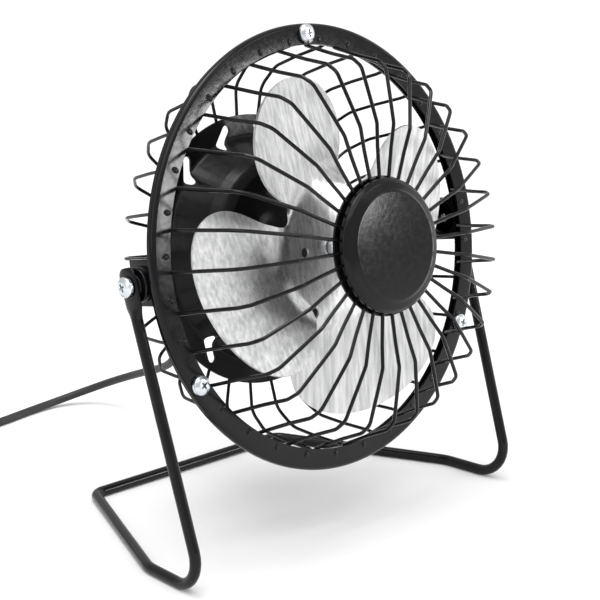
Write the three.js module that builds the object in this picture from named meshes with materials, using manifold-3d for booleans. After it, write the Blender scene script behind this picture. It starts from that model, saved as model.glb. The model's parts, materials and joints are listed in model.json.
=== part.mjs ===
// A small metal desk fan: a tilting round head in a bent-rod stand, driven by a low-voltage motor.
// Millimetres, +Z up. The fan blows towards -Y, and the origin is on the surface it stands on,
// below the middle of the fan without its cord.
import * as THREE from "three";
import { mergeVertices } from "three/addons/utils/BufferGeometryUtils.js";
import Module from "manifold-3d";

const wasm = await Module();
wasm.setup();

// ---------------------------------------------------------------- driving dimensions
const DEGREE = Math.PI / 180;
const GAP = 0.3; // left between pieces that touch
const SHEET = 0.8; // pressed sheet metal

// The hinge that the head tilts on, and how far its face looks up as it stands.
const HINGE_Y = -9.462;
const HINGE_Z = 90;
const HEAD_TILT = 10.26;

// Guard rings, measured along the fan's axis from the hinge, with -Y towards the front.
const RING_OUTER = 70;
const RING_INNER = 63.3;
const FACE_Y = -9.1;
const RING_SCREW_CIRCLE = 66.7;
const RING_SCREW_ANGLES = [88.5, 208.5, 328.5];

// Guard wires.
const FRONT_WIRE_COUNT = 32;
const FRONT_WIRE = 1.2;
const FRONT_WIRE_PHASE = 9;
const REAR_WIRE_COUNT = 30;
const REAR_WIRE = 1.1;
const REAR_WIRE_PHASE = 6;

// Fan wheel.
const BLADE_COUNT = 4;
const BLADE_PHASE = 14.4;
const BLADE_PITCH = -17.3;
const BLADE_Y = -11.2;

// Motor.
const CAN_RADIUS = 12;
const CAN_FRONT = 8.8;
const CAN_LENGTH = 19.2;
const SHAFT_RADIUS = 1;

// Rear plate and the cover behind the motor.
const PLATE_RADIUS = 44;
const PLATE_FRONT = 23.8;
const BULGE_FRONT = 7.6;
const COVER_RADIUS = 21;
const COVER_FRONT = 9;
const COVER_BACK = 44;

// Stand.
const ROD = 3.5;
const EYE_X = 72.15; // middle of the flattened rod ends
const EYE_THICKNESS = 1.7;
const FOOT_X = 70.2;
const FOOT_REACH = 28.85; // the arms' corner with the floor rails, in front of the hinge
const KINK_X = 68.5;
const KINK_REACH = 1.25; // where the rails start to run inwards, in front of the hinge
const REAR_X = 42;
const REAR_REACH = 59.55; // the crossbar, behind the hinge

// Cord.
const CORD = 3;
const CORD_SIDES = 8;

// ---------------------------------------------------------------- materials
const finish = (color, roughness, metalness) =>
  new THREE.MeshStandardMaterial({ color, roughness, metalness });

const blackGloss = finish(0x161616, 0.3, 0.2);
const aluminium = finish(0xbfc0c2, 0.35, 1);
const zinc = finish(0xc9ced2, 0.3, 1);
const steel = finish(0xa8a8a8, 0.35, 1);
const blackPlastic = finish(0x202020, 0.5, 0);
const blackNylon = finish(0x1a1a1a, 0.55, 0);
const laminations = finish(0x5a5c60, 0.5, 1);
const copper = finish(0xb5652b, 0.35, 1);
const bronze = finish(0xa9783f, 0.4, 1);
const ferrite = finish(0x3a3a3c, 0.7, 0);
const cordJacket = finish(0x2f3031, 0.6, 0);
const redJacket = finish(0x9c1f1b, 0.5, 0);

// ---------------------------------------------------------------- solids and booleans
function solidOf(geometry) {
  const bare = geometry.index ? geometry.toNonIndexed() : geometry.clone();
  bare.deleteAttribute("normal");
  bare.deleteAttribute("uv");
  const merged = mergeVertices(bare, 1e-4);
  return new wasm.Manifold(
    new wasm.Mesh({
      numProp: 3,
      vertProperties: merged.attributes.position.array,
      triVerts: new Uint32Array(merged.index.array),
    }),
  );
}

function geometryOf(solid) {
  const mesh = solid.getMesh();
  const geometry = new THREE.BufferGeometry();
  geometry.setAttribute("position", new THREE.BufferAttribute(mesh.vertProperties, 3));
  geometry.setIndex(new THREE.BufferAttribute(mesh.triVerts, 1));
  geometry.computeVertexNormals();
  return geometry;
}

const join = (...geometries) =>
  geometryOf(geometries.map(solidOf).reduce((whole, piece) => whole.add(piece)));

const cut = (body, ...tools) =>
  geometryOf(tools.map(solidOf).reduce((rest, tool) => rest.subtract(tool), solidOf(body)));

// ---------------------------------------------------------------- shapes
const group = new THREE.Group();
const head = new THREE.Group();
head.position.set(0, HINGE_Y, HINGE_Z);
head.rotation.x = -HEAD_TILT * DEGREE;
group.add(head);

const rotor = new THREE.Group();
rotor.position.y = BLADE_Y;
rotor.rotation.y = -BLADE_PHASE * DEGREE;
head.add(rotor);

function place(parent, name, geometry, material) {
  const mesh = new THREE.Mesh(geometry, material);
  mesh.name = name;
  parent.add(mesh);
  return mesh;
}

// A turned piece about the Y axis, from [radius, y] points. A profile that starts on the axis ends
// on it too; any other is a ring, and its last point is joined to its first.
function turned(profile, segments = 24) {
  const points = profile.map(([radius, y]) => new THREE.Vector2(radius, y));
  if (THREE.ShapeUtils.area(points) < 0) points.reverse();
  if (profile[0][0] > 0) points.push(points[0]);
  return new THREE.LatheGeometry(points, segments);
}

// A round bar along Y from y0 to y1.
const bar = (radius, y0, y1, segments = 16) =>
  new THREE.CylinderGeometry(radius, radius, y1 - y0, segments).translate(0, (y0 + y1) / 2, 0);

// A washer or tube along Y.
const tube = (inner, outer, y0, y1, segments = 18) =>
  turned([[inner, y0], [outer, y0], [outer, y1], [inner, y1]], segments);

const block = (x, y, z, width, depth, height) =>
  new THREE.BoxGeometry(width, depth, height).translate(x, y, z);

// Turns a piece built round the Y axis so that it lies round the X axis, its +Y end at +X.
const alongX = (geometry) => geometry.rotateZ(-90 * DEGREE);

// The left-hand piece for side -1, or the same piece turned round to the right for side 1.
const onSide = (side, geometry) => (side < 0 ? geometry : geometry.rotateY(180 * DEGREE));

// Puts a piece built at +X at an angle seen from the front, anticlockwise from +X.
const atAngle = (geometry, degrees) => geometry.rotateY(-degrees * DEGREE);

// A flat shape in the face's plane (x, z), thickened along Y from y0 to y1.
function pressed(shape, y0, y1, curveSegments = 12) {
  const geometry = new THREE.ExtrudeGeometry(shape, {
    depth: y1 - y0,
    bevelEnabled: false,
    curveSegments,
  });
  return geometry.rotateX(90 * DEGREE).translate(0, y1, 0);
}

// A flat shape in the plane (y, z), thickened along X from x0 to x1.
function pressedAcross(shape, x0, x1, curveSegments = 12) {
  const geometry = new THREE.ExtrudeGeometry(shape, {
    depth: x1 - x0,
    bevelEnabled: false,
    curveSegments,
  });
  const turn = new THREE.Matrix4().set(0, 0, 1, x0, 1, 0, 0, 0, 0, 1, 0, 0, 0, 0, 0, 1);
  return geometry.applyMatrix4(turn);
}

// A route through points: the sweep gets one section at each of them.
class Route extends THREE.Curve {
  constructor(points) {
    super();
    this.points = points;
  }
  getPoint(t, target = new THREE.Vector3()) {
    const last = this.points.length - 1;
    const along = THREE.MathUtils.clamp(t, 0, 1) * last;
    const index = Math.min(Math.floor(along), last - 1);
    return target.lerpVectors(this.points[index], this.points[index + 1], along - index);
  }
  getPointAt(t, target) {
    return this.getPoint(t, target);
  }
  getTangentAt(t, target = new THREE.Vector3()) {
    const step = 0.25 / (this.points.length - 1);
    return target.subVectors(this.getPoint(t + step), this.getPoint(t - step)).normalize();
  }
}

// A round wire or tube through the points, its flats turned by roll degrees.
function swept(points, diameter, sides, roll = 0) {
  const section = new THREE.Shape(
    Array.from({ length: sides }, (_, side) => {
      const turn = ((side + 0.5) / sides) * 2 * Math.PI + roll * DEGREE;
      return new THREE.Vector2(Math.cos(turn), Math.sin(turn)).multiplyScalar(diameter / 2);
    }),
  );
  const route = new Route(points.map((point) => new THREE.Vector3(...point)));
  return new THREE.ExtrudeGeometry(section, {
    steps: points.length - 1,
    extrudePath: route,
    bevelEnabled: false,
  });
}

// The corner points with each inner corner rounded to the bend radius given for it.
function rounded(corners, radii, stepsPerBend) {
  const at = corners.map((corner) => new THREE.Vector3(...corner));
  const points = [at[0]];
  for (let i = 1; i < at.length - 1; i += 1) {
    const back = at[i - 1].clone().sub(at[i]).normalize();
    const ahead = at[i + 1].clone().sub(at[i]).normalize();
    const half = back.angleTo(ahead) / 2;
    const middle = back.clone().add(ahead).normalize();
    const centre = at[i].clone().addScaledVector(middle, radii[i - 1] / Math.sin(half));
    const across = ahead.clone().sub(back).normalize();
    const sweep = Math.PI / 2 - half;
    for (let step = 0; step <= stepsPerBend; step += 1) {
      const turn = sweep * ((2 * step) / stepsPerBend - 1);
      points.push(
        centre
          .clone()
          .addScaledVector(middle, -radii[i - 1] * Math.cos(turn))
          .addScaledVector(across, radii[i - 1] * Math.sin(turn)),
      );
    }
  }
  points.push(at[at.length - 1]);
  return points.map((point) => point.toArray());
}

// ---------------------------------------------------------------- guards
// The front ring is a flat face with a lip turned back round its edge.
const LIP_DEPTH = 2.1;
const REAR_RING_FRONT = FACE_Y + LIP_DEPTH + GAP;
const REAR_RING_BACK = REAR_RING_FRONT + SHEET;
const RING_SEGMENTS = 48;
const WIRE_SIDES = 5;
const WELD_DEPTH = 0.25; // how far a wire sinks into the ring it is welded to
const SCREW_HOLE = 1.7;

function screwHoles(y0, y1) {
  return RING_SCREW_ANGLES.map((angle) =>
    atAngle(bar(SCREW_HOLE, y0, y1, 8).translate(RING_SCREW_CIRCLE, 0, 0), angle),
  );
}

// Wires that all follow one profile of [radius, y] points, at even angles.
function wires(profile, diameter, count, phase) {
  const one = swept(profile.map(([radius, y]) => [radius, y, 0]), diameter, WIRE_SIDES);
  return Array.from({ length: count }, (_, index) =>
    atAngle(one.clone(), phase + (index * 360) / count),
  );
}

const FRONT_WIRE_PROFILE = [
  [64.9, FACE_Y + SHEET + FRONT_WIRE / 2 - WELD_DEPTH],
  [63.2, FACE_Y + 1.1],
  [59.5, -19.4],
  [57.2, -28],
  [54, -31],
  [37.5, -35.7],
  [30, -34.9],
  [18.6, -34.4],
];
const HUB_RING_Y = -34.4 + FRONT_WIRE / 2 - WELD_DEPTH;

function frontGuard() {
  const ring = turned(
    [
      [RING_INNER, FACE_Y],
      [RING_OUTER - SHEET, FACE_Y],
      [RING_OUTER, FACE_Y + SHEET],
      [RING_OUTER, FACE_Y + LIP_DEPTH],
      [RING_OUTER - SHEET, FACE_Y + LIP_DEPTH],
      [RING_OUTER - SHEET, FACE_Y + SHEET],
      [RING_INNER, FACE_Y + SHEET],
    ],
    RING_SEGMENTS,
  );
  const hubRing = tube(16.6, 21.4, HUB_RING_Y, HUB_RING_Y + SHEET, RING_SEGMENTS / 2);
  const wireSet = wires(FRONT_WIRE_PROFILE, FRONT_WIRE, FRONT_WIRE_COUNT, FRONT_WIRE_PHASE);
  const welded = join(ring, hubRing, ...wireSet);
  return cut(welded, ...screwHoles(FACE_Y - 1, FACE_Y + 2));
}

const REAR_WIRE_PROFILE = [
  [64.5, REAR_RING_BACK - WELD_DEPTH],
  [63.6, -3.4],
  [60.4, 12.8],
  [58.2, 18.4],
  [54.4, 22.6],
  [49.4, 24.7],
  [42.6, PLATE_FRONT + SHEET + GAP + REAR_WIRE / 2 + 0.1],
];

function rearGuard() {
  const ring = tube(RING_INNER + 0.3, RING_OUTER - 0.4, REAR_RING_FRONT, REAR_RING_BACK, RING_SEGMENTS);
  const wireSet = wires(REAR_WIRE_PROFILE, REAR_WIRE, REAR_WIRE_COUNT, REAR_WIRE_PHASE);
  const welded = join(ring, ...wireSet);
  return cut(welded, ...screwHoles(REAR_RING_FRONT - 1, REAR_RING_BACK + 1));
}

// A pan head whose crown points to -Y, its shank running back from y = 0.
function panScrew(headRadius, headHeight, shankRadius, shankLength, sides = 12) {
  const screw = turned(
    [
      [0, -headHeight],
      [headRadius * 0.7, -headHeight * 0.88],
      [headRadius, -headHeight * 0.35],
      [headRadius, 0],
      [shankRadius, 0],
      [shankRadius, shankLength],
      [0, shankLength],
    ],
    sides,
  );
  const slot = headRadius * 1.1;
  const width = headRadius * 0.24;
  const depth = headHeight * 0.6;
  const recess = -headHeight + depth / 2;
  return cut(
    screw,
    block(0, recess - 0.5, 0, slot, depth + 1, width),
    block(0, recess - 0.5, 0, width, depth + 1, slot),
  );
}

// The pressed cap over the middle of the front guard, with three tongues bent behind its ring.
function hubCap() {
  const dish = turned(
    [
      [0, -38.8],
      [16.6, -38.8],
      [17.5, -38.3],
      [19.4, -37.8],
      [20.6, -36.8],
      [20.6, -35.5],
      [19.8, -35.5],
      [19, -37],
      [17.2, -37.5],
      [16.3, -38],
      [0, -38],
    ],
    28,
  );
  const ringBack = HUB_RING_Y + SHEET + GAP;
  const tongues = [30, 150, 270].flatMap((angle) => [
    atAngle(block(15.6, -35.4, 0, SHEET, 5.8, 3), angle + FRONT_WIRE_PHASE),
    atAngle(block(16.8, ringBack + 0.3, 0, 3.2, 0.6, 3), angle + FRONT_WIRE_PHASE),
  ]);
  return join(dish, ...tongues);
}

place(head, "front_guard", frontGuard(), blackGloss);
place(head, "rear_guard", rearGuard(), blackGloss);
place(head, "hub_cap", hubCap(), blackGloss);
RING_SCREW_ANGLES.forEach((angle, index) => {
  const screw = panScrew(3, 1.9, 1.35, 4.6);
  screw.rotateY(angle * 3 * DEGREE).translate(RING_SCREW_CIRCLE, FACE_Y - GAP, 0);
  place(head, `ring_screw_${index + 1}`, atAngle(screw, angle), zinc);
});

// ---------------------------------------------------------------- rear plate
// Vents go in pairs, at an angle either side of the top (90) or the bottom (270) of the plate.
const VENT_PAIRS = [[90, 13], [90, 41], [270, 42]];
const VENT_MIDDLE = 38.3;
const VENT_LENGTH = 9;
const VENT_WIDTH = 3;
const VENT_SLANT = 50; // from the radius, the outer ends leaning together

// The tool for a vent with round ends, at +X and turned from the radius.
function ventSlot(slant) {
  const half = VENT_WIDTH / 2;
  const reach = VENT_LENGTH / 2 - half;
  const shape = new THREE.Shape();
  shape.absarc(reach, 0, half, -Math.PI / 2, Math.PI / 2);
  shape.absarc(-reach, 0, half, Math.PI / 2, Math.PI * 1.5);
  const slot = pressed(shape, PLATE_FRONT - 7, PLATE_FRONT + 2, 3);
  return atAngle(slot, slant).translate(VENT_MIDDLE, 0, 0);
}

const MOTOR_BOSS_HOLE = 4.2;
const MOTOR_SCREW_CIRCLE = 8;
const MOTOR_SCREW_ANGLES = [0, 180];
const COVER_SCREW_CIRCLE = 17.4;
const COVER_SCREW_ANGLES = [90, 210, 330];

const holeAt = (circle, angle, radius) =>
  atAngle(bar(radius, BULGE_FRONT - 2, CAN_FRONT + 2, 10).translate(circle, 0, 0), angle);

function rearPlate() {
  const front = [
    [PLATE_RADIUS, PLATE_FRONT],
    [37, PLATE_FRONT],
    [31.8, 13],
    [30, 9.7],
    [27, BULGE_FRONT],
    [0, BULGE_FRONT],
  ];
  const back = [
    [0, BULGE_FRONT + SHEET],
    [26.6, BULGE_FRONT + SHEET],
    [29.3, 10.3],
    [31, 13.3],
    [36.4, PLATE_FRONT + SHEET],
    [PLATE_RADIUS, PLATE_FRONT + SHEET],
  ];
  const dish = turned([...back, ...front], 36);
  const vents = VENT_PAIRS.flatMap(([middle, apart]) =>
    [-1, 1].map((side) => atAngle(ventSlot(-side * VENT_SLANT), middle + side * apart)),
  );
  const holes = [
    bar(MOTOR_BOSS_HOLE, 0, 12, 20),
    ...MOTOR_SCREW_ANGLES.map((angle) => holeAt(MOTOR_SCREW_CIRCLE, angle, 1.1)),
    ...COVER_SCREW_ANGLES.map((angle) => holeAt(COVER_SCREW_CIRCLE, angle, 1.4)),
  ];
  return cut(dish, ...vents, ...holes);
}

place(head, "rear_plate", rearPlate(), blackGloss);

// ---------------------------------------------------------------- hinge and stand
const EYE_INNER = EYE_X - EYE_THICKNESS / 2;
const WASHER_THICKNESS = 0.4;
const KNUCKLE_OUTER = EYE_INNER - GAP - WASHER_THICKNESS - GAP;
const KNUCKLE_INNER = 65;
const KNUCKLE_RADIUS = 5.3;
const HINGE_BORE = 1.7;
const BRACKET_THICKNESS = 1.6;
const BRACKET_BACK = 6.2;
const BRACKET_HEIGHT = 14;
const WASHER_RADIUS = 3.5;

// A short barrel on a bracket plate, which is welded to the back of the rear ring; the hinge screw
// threads into the barrel.
function pivotKnuckle() {
  const barrel = alongX(bar(KNUCKLE_RADIUS, -KNUCKLE_OUTER, -KNUCKLE_INNER, 24));
  const plateFront = REAR_RING_BACK + GAP;
  const plate = block(
    -KNUCKLE_INNER - BRACKET_THICKNESS / 2,
    (plateFront + BRACKET_BACK) / 2,
    0,
    BRACKET_THICKNESS,
    BRACKET_BACK - plateFront,
    BRACKET_HEIGHT,
  );
  const bore = alongX(bar(HINGE_BORE, -KNUCKLE_OUTER - 1, -KNUCKLE_INNER + 1, 12));
  return cut(join(barrel, plate), bore);
}

function hingeScrew() {
  const seat = EYE_X + EYE_THICKNESS / 2 + GAP;
  return alongX(panScrew(3.1, 1.9, 1.4, seat - KNUCKLE_INNER - 0.6).translate(0, -seat, 0));
}

const hingeWasher = () =>
  alongX(tube(HINGE_BORE, WASHER_RADIUS, -EYE_INNER + GAP, -EYE_INNER + GAP + WASHER_THICKNESS));

[
  [-1, "left"],
  [1, "right"],
].forEach(([side, name]) => {
  place(head, `${name}_pivot_knuckle`, onSide(side, pivotKnuckle()), blackGloss);
  place(head, `${name}_friction_washer`, onSide(side, hingeWasher()), blackNylon);
  place(head, `${name}_pivot_screw`, onSide(side, hingeScrew()), zinc);
});

// One bent rod: eye, arm, foot bend and floor rail on each side, with a crossbar behind.
const EYE_WIDTH = 7.5;
const EYE_TOP = 5.5;
const EYE_TAIL = 10.5;
const ARM_LEAN = Math.atan2(FOOT_REACH, HINGE_Z - ROD / 2);
const ROD_SIDES = 10;
const ROD_ROLL = -11.3; // lays one flat of the floor rails and the crossbar on the floor

function rodEye(side) {
  const half = EYE_WIDTH / 2;
  const corner = 2;
  const shape = new THREE.Shape();
  shape.moveTo(-half, 5 - EYE_TAIL);
  shape.lineTo(-ROD / 2, -EYE_TAIL);
  shape.lineTo(ROD / 2, -EYE_TAIL);
  shape.lineTo(half, 5 - EYE_TAIL);
  shape.lineTo(half, EYE_TOP - corner);
  shape.quadraticCurveTo(half, EYE_TOP, half - corner, EYE_TOP);
  shape.lineTo(corner - half, EYE_TOP);
  shape.quadraticCurveTo(-half, EYE_TOP, -half, EYE_TOP - corner);
  const hole = new THREE.Path();
  hole.absarc(0, 0, HINGE_BORE, 0, 2 * Math.PI, true);
  shape.holes.push(hole);
  const middle = side * EYE_X;
  return pressedAcross(shape, middle - EYE_THICKNESS / 2, middle + EYE_THICKNESS / 2, 6)
    .rotateX(-ARM_LEAN)
    .translate(0, HINGE_Y, HINGE_Z);
}

function standRod() {
  const floor = (ROD / 2) * Math.cos(Math.PI / ROD_SIDES);
  const armTop = 7;
  const sideCorners = (side) => [
    [side * EYE_X, HINGE_Y - armTop * Math.sin(ARM_LEAN), HINGE_Z - armTop * Math.cos(ARM_LEAN)],
    [side * FOOT_X, HINGE_Y - FOOT_REACH, floor],
    [side * KINK_X, HINGE_Y - KINK_REACH, floor],
    [side * REAR_X, HINGE_Y + REAR_REACH, floor],
  ];
  const corners = [...sideCorners(-1), ...sideCorners(1).reverse()];
  const footBend = 9.7;
  const kinkBend = 14;
  const rearBend = 5;
  const bends = [footBend, kinkBend, rearBend, rearBend, kinkBend, footBend];
  const rod = swept(rounded(corners, bends, 4), ROD, ROD_SIDES, ROD_ROLL);
  return join(rod, rodEye(-1), rodEye(1));
}

place(group, "stand_rod", standRod(), blackGloss);

// ---------------------------------------------------------------- fan wheel
// A lobe is an ellipse; the gap between two lobes narrows to a slit with a round end.
const LOBE_MIDDLE = 35.7;
const LOBE_REACH = 18.9;
const LOBE_HALF_WIDTH = 25.9;
const SLIT_HALF_WIDTH = 2.57;
const SLIT_END = 22.6;
const HUB_FLAT = 20.1;
const FULL_PITCH = 27;

// Distances along a blade's middle line: to the middle of the slit's round end, to where that end
// starts, to where the slit's edge turns straight, and to where the straight edge meets the ellipse.
const ROUND_END = SLIT_END / Math.SQRT2;
const SLIT_START = (SLIT_END - SLIT_HALF_WIDTH) / Math.SQRT2;
const SLIT_STRAIGHT = ROUND_END + SLIT_HALF_WIDTH / Math.SQRT2;

// Where a line at 45 degrees touches the ellipse, as a share of its reach.
const LOBE_TANGENT = LOBE_REACH / Math.hypot(LOBE_REACH, LOBE_HALF_WIDTH);
const LOBE_TOUCH = LOBE_MIDDLE - LOBE_REACH * LOBE_TANGENT;

// How far the wheel's edge is from a blade's middle line, at a distance along that line.
function bladeHalfWidth(along) {
  if (along <= SLIT_START) return along;
  if (along <= SLIT_STRAIGHT) {
    return ROUND_END - Math.sqrt(Math.max(SLIT_HALF_WIDTH ** 2 - (along - ROUND_END) ** 2, 0));
  }
  const ellipse = 1 - ((along - LOBE_MIDDLE) / LOBE_REACH) ** 2;
  const lobe = ellipse > 0 ? LOBE_HALF_WIDTH * Math.sqrt(ellipse) : 0;
  if (along <= LOBE_TOUCH) return along - SLIT_HALF_WIDTH * Math.SQRT2;
  return lobe;
}

function bladeStations() {
  const marks = [0, SLIT_START, ROUND_END, SLIT_STRAIGHT, LOBE_TOUCH];
  const stations = marks.flatMap((mark, i) => (i > 0 ? [(marks[i - 1] + mark) / 2, mark] : [mark]));
  const steps = 7;
  const first = Math.acos(-LOBE_TANGENT);
  for (let step = 1; step <= steps; step += 1) {
    stations.push(LOBE_MIDDLE + LOBE_REACH * Math.cos(first * (1 - step / steps)));
  }
  return { stations, firstEdge: 2 };
}

// The pressed wheel: flat in the middle, each lobe turning to the blade pitch past the hub.
function fanWheel() {
  const { stations, firstEdge } = bladeStations();
  const columns = 4;
  const corners = [];
  const faces = [];
  const point = (blade, station, column, back) => {
    const along = stations[station];
    const across = bladeHalfWidth(along) * ((2 * column) / columns - 1);
    const pitched = THREE.MathUtils.smoothstep(Math.hypot(along, across), HUB_FLAT, FULL_PITCH);
    const lift = across * Math.tan(BLADE_PITCH * DEGREE) * pitched;
    const turn = (blade * 2 * Math.PI) / BLADE_COUNT;
    corners.push(
      along * Math.cos(turn) - across * Math.sin(turn),
      lift + (back ? SHEET / 2 : -SHEET / 2),
      along * Math.sin(turn) + across * Math.cos(turn),
    );
    return corners.length / 3 - 1;
  };
  const apart = (a, b) => [0, 1, 2].some((i) => Math.abs(corners[3 * a + i] - corners[3 * b + i]) > 1e-3);
  const triangle = (a, b, c) => {
    if (apart(a, b) && apart(b, c) && apart(c, a)) faces.push(a, b, c);
  };
  const quad = (a, b, c, d) => {
    triangle(a, b, c);
    triangle(a, c, d);
  };
  for (let blade = 0; blade < BLADE_COUNT; blade += 1) {
    for (let station = 0; station < stations.length - 1; station += 1) {
      for (let column = 0; column < columns; column += 1) {
        const sheet = (back) => [
          point(blade, station, column, back),
          point(blade, station + 1, column, back),
          point(blade, station + 1, column + 1, back),
          point(blade, station, column + 1, back),
        ];
        quad(...sheet(false));
        quad(...sheet(true).reverse());
      }
      if (station < firstEdge) continue;
      const edge = (column) => [
        point(blade, station, column, false),
        point(blade, station, column, true),
        point(blade, station + 1, column, true),
        point(blade, station + 1, column, false),
      ];
      quad(...edge(0));
      quad(...edge(columns).reverse());
    }
  }
  const wheel = new THREE.BufferGeometry();
  wheel.setAttribute("position", new THREE.Float32BufferAttribute(corners, 3));
  wheel.setIndex(faces);
  const shaftHole = bar(SHAFT_RADIUS + GAP, -2, 2, 12);
  const lighteningHoles = [45, 165, 285].map((angle) =>
    atAngle(bar(1.6, -2, 2, 12).translate(12, 0, 0), angle),
  );
  return cut(wheel, shaftHole, ...lighteningHoles);
}

const SHAFT_BORE = SHAFT_RADIUS + GAP;
const SHAFT_FRONT = -2.9; // from the wheel
const SHAFT_END = 43.7;
const BOSS_BACK = 14;

const wheelBoss = () =>
  turned(
    [
      [SHAFT_BORE, SHEET / 2 + GAP],
      [9, SHEET / 2 + GAP],
      [9, 2.2],
      [5, 3.4],
      [4.4, BOSS_BACK],
      [SHAFT_BORE, BOSS_BACK],
    ],
    16,
  );

const capNut = () =>
  turned(
    [
      [0, -4.4],
      [1.6, -4],
      [2.8, -2.4],
      [2.8, -SHEET / 2 - GAP],
      [SHAFT_BORE, -SHEET / 2 - GAP],
      [SHAFT_BORE, SHAFT_FRONT - GAP],
      [0, SHAFT_FRONT - GAP],
    ],
    12,
  );

place(rotor, "fan_wheel", fanWheel(), aluminium);
place(rotor, "wheel_boss", wheelBoss(), blackPlastic);
place(rotor, "cap_nut", capNut(), zinc);
place(rotor, "motor_shaft", bar(SHAFT_RADIUS, SHAFT_FRONT, SHAFT_END, 12), steel);

// ---------------------------------------------------------------- motor
const CAN_WALL = 0.8;
const CAN_BACK = CAN_FRONT + CAN_LENGTH;
const MOTOR_BOSS = 3.9;
const BUSH_OUTER = 2.6;
const MAGNET_FRONT = CAN_FRONT + 2.2;
const MAGNET_LENGTH = 15;
const MAGNET_OUTER = CAN_RADIUS - CAN_WALL - GAP;
const MAGNET_INNER = 8.8;
const MAGNET_SPREAD = 62;
const CORE_RADIUS = 8.3;
const CORE_LENGTH = 11.5;
const POLE_ANGLES = [0, 120, 240];

function motorCan() {
  const body = turned(
    [
      [BUSH_OUTER + GAP, CAN_FRONT - 2.4],
      [MOTOR_BOSS, CAN_FRONT - 2.4],
      [MOTOR_BOSS, CAN_FRONT],
      [CAN_RADIUS, CAN_FRONT],
      [CAN_RADIUS, CAN_BACK],
      [CAN_RADIUS - CAN_WALL, CAN_BACK],
      [CAN_RADIUS - CAN_WALL, CAN_FRONT + CAN_WALL],
      [BUSH_OUTER + GAP, CAN_FRONT + CAN_WALL],
    ],
    24,
  );
  return cut(body, ...MOTOR_SCREW_ANGLES.map((angle) => holeAt(MOTOR_SCREW_CIRCLE, angle, 1.1)));
}

const bush = (front) => tube(SHAFT_BORE, BUSH_OUTER, front, front + 2.8, 12);

// A curved bar with square ends between two radii, spread either side of an angle.
function arcBar(inner, outer, spread, y0, y1) {
  const shape = new THREE.Shape();
  shape.absarc(0, 0, outer, -spread * DEGREE, spread * DEGREE, false);
  shape.absarc(0, 0, inner, spread * DEGREE, -spread * DEGREE, true);
  return pressed(shape, y0, y1, 6);
}

const STEM_WIDTH = 2.4;
const CORE_FRONT = MAGNET_FRONT + 1.6;

function armatureCore() {
  const y1 = CORE_FRONT + CORE_LENGTH;
  const stems = POLE_ANGLES.flatMap((angle) => [
    atAngle(block(4.4, (CORE_FRONT + y1) / 2, 0, 5, CORE_LENGTH, STEM_WIDTH), angle),
    atAngle(arcBar(6.6, CORE_RADIUS, 46, CORE_FRONT, y1), angle),
  ]);
  const whole = join(bar(2.7, CORE_FRONT, y1, 18), ...stems);
  return cut(whole, bar(SHAFT_BORE, CORE_FRONT - 1, y1 + 1, 12));
}

function winding() {
  const middle = CORE_FRONT + CORE_LENGTH / 2;
  const slot = block(4.5, middle, 0, 6, CORE_LENGTH + 2 * GAP, STEM_WIDTH + 2 * GAP);
  return cut(block(4.4, middle, 0, 2.4, CORE_LENGTH + 3, 5), slot);
}

const COMMUTATOR_FRONT = CORE_FRONT + CORE_LENGTH + 1;
const END_CAP_FRONT = CAN_BACK + GAP;
const BRUSH_X = 7.6;

function motorEndCap() {
  const disc = turned(
    [
      [BUSH_OUTER + GAP, END_CAP_FRONT],
      [CAN_RADIUS - 0.1, END_CAP_FRONT],
      [CAN_RADIUS - 0.1, END_CAP_FRONT + 1.6],
      [MOTOR_BOSS, END_CAP_FRONT + 2],
      [MOTOR_BOSS, END_CAP_FRONT + 3.8],
      [BUSH_OUTER + GAP, END_CAP_FRONT + 3.8],
    ],
    24,
  );
  const slots = [-1, 1].map((side) => block(side * BRUSH_X, END_CAP_FRONT + 1, 0, 1.2, 4, 3.2));
  return cut(disc, ...slots);
}

// A springy bronze leaf: a terminal through the end cap, an arm, and a finger on the commutator.
function brush() {
  const armY = END_CAP_FRONT - GAP - 0.4;
  const fingerX = 3.05;
  const fingerFront = COMMUTATOR_FRONT + 0.9;
  const finger = block(fingerX, (fingerFront + armY) / 2, 0, 0.5, armY - fingerFront + 0.4, 2);
  const arm = block((fingerX + BRUSH_X) / 2, armY, 0, BRUSH_X - fingerX + 0.5, 0.5, 2);
  const terminal = block(BRUSH_X, armY + 2.6, 0, 0.5, 5.7, 2);
  return join(finger, arm, terminal);
}

place(head, "motor_can", motorCan(), steel);
place(head, "front_bush", bush(CAN_FRONT - 2), bronze);
place(head, "rear_bush", bush(END_CAP_FRONT + 0.7), bronze);
[180, 0].forEach((angle, index) => {
  const magnet = arcBar(
    MAGNET_INNER,
    MAGNET_OUTER,
    MAGNET_SPREAD,
    MAGNET_FRONT,
    MAGNET_FRONT + MAGNET_LENGTH,
  );
  place(head, ["left_magnet", "right_magnet"][index], atAngle(magnet, angle + 90), ferrite);
});
place(head, "motor_end_cap", motorEndCap(), blackPlastic);
place(head, "left_brush", onSide(1, brush()), bronze);
place(head, "right_brush", brush(), bronze);

const winder = new THREE.Group();
winder.position.y = -BLADE_Y;
rotor.add(winder);
place(winder, "armature_core", armatureCore(), laminations);
POLE_ANGLES.forEach((angle, index) => {
  place(winder, `winding_${index + 1}`, atAngle(winding(), angle), copper);
});
place(
  winder,
  "commutator",
  tube(SHAFT_BORE, 2.5, COMMUTATOR_FRONT, COMMUTATOR_FRONT + 2.6, 12),
  copper,
);

MOTOR_SCREW_ANGLES.forEach((angle, index) => {
  const screw = panScrew(1.9, 1.2, 0.8, 3.4, 8).translate(MOTOR_SCREW_CIRCLE, BULGE_FRONT - GAP, 0);
  place(head, `motor_screw_${index + 1}`, atAngle(screw, angle), zinc);
});

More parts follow.
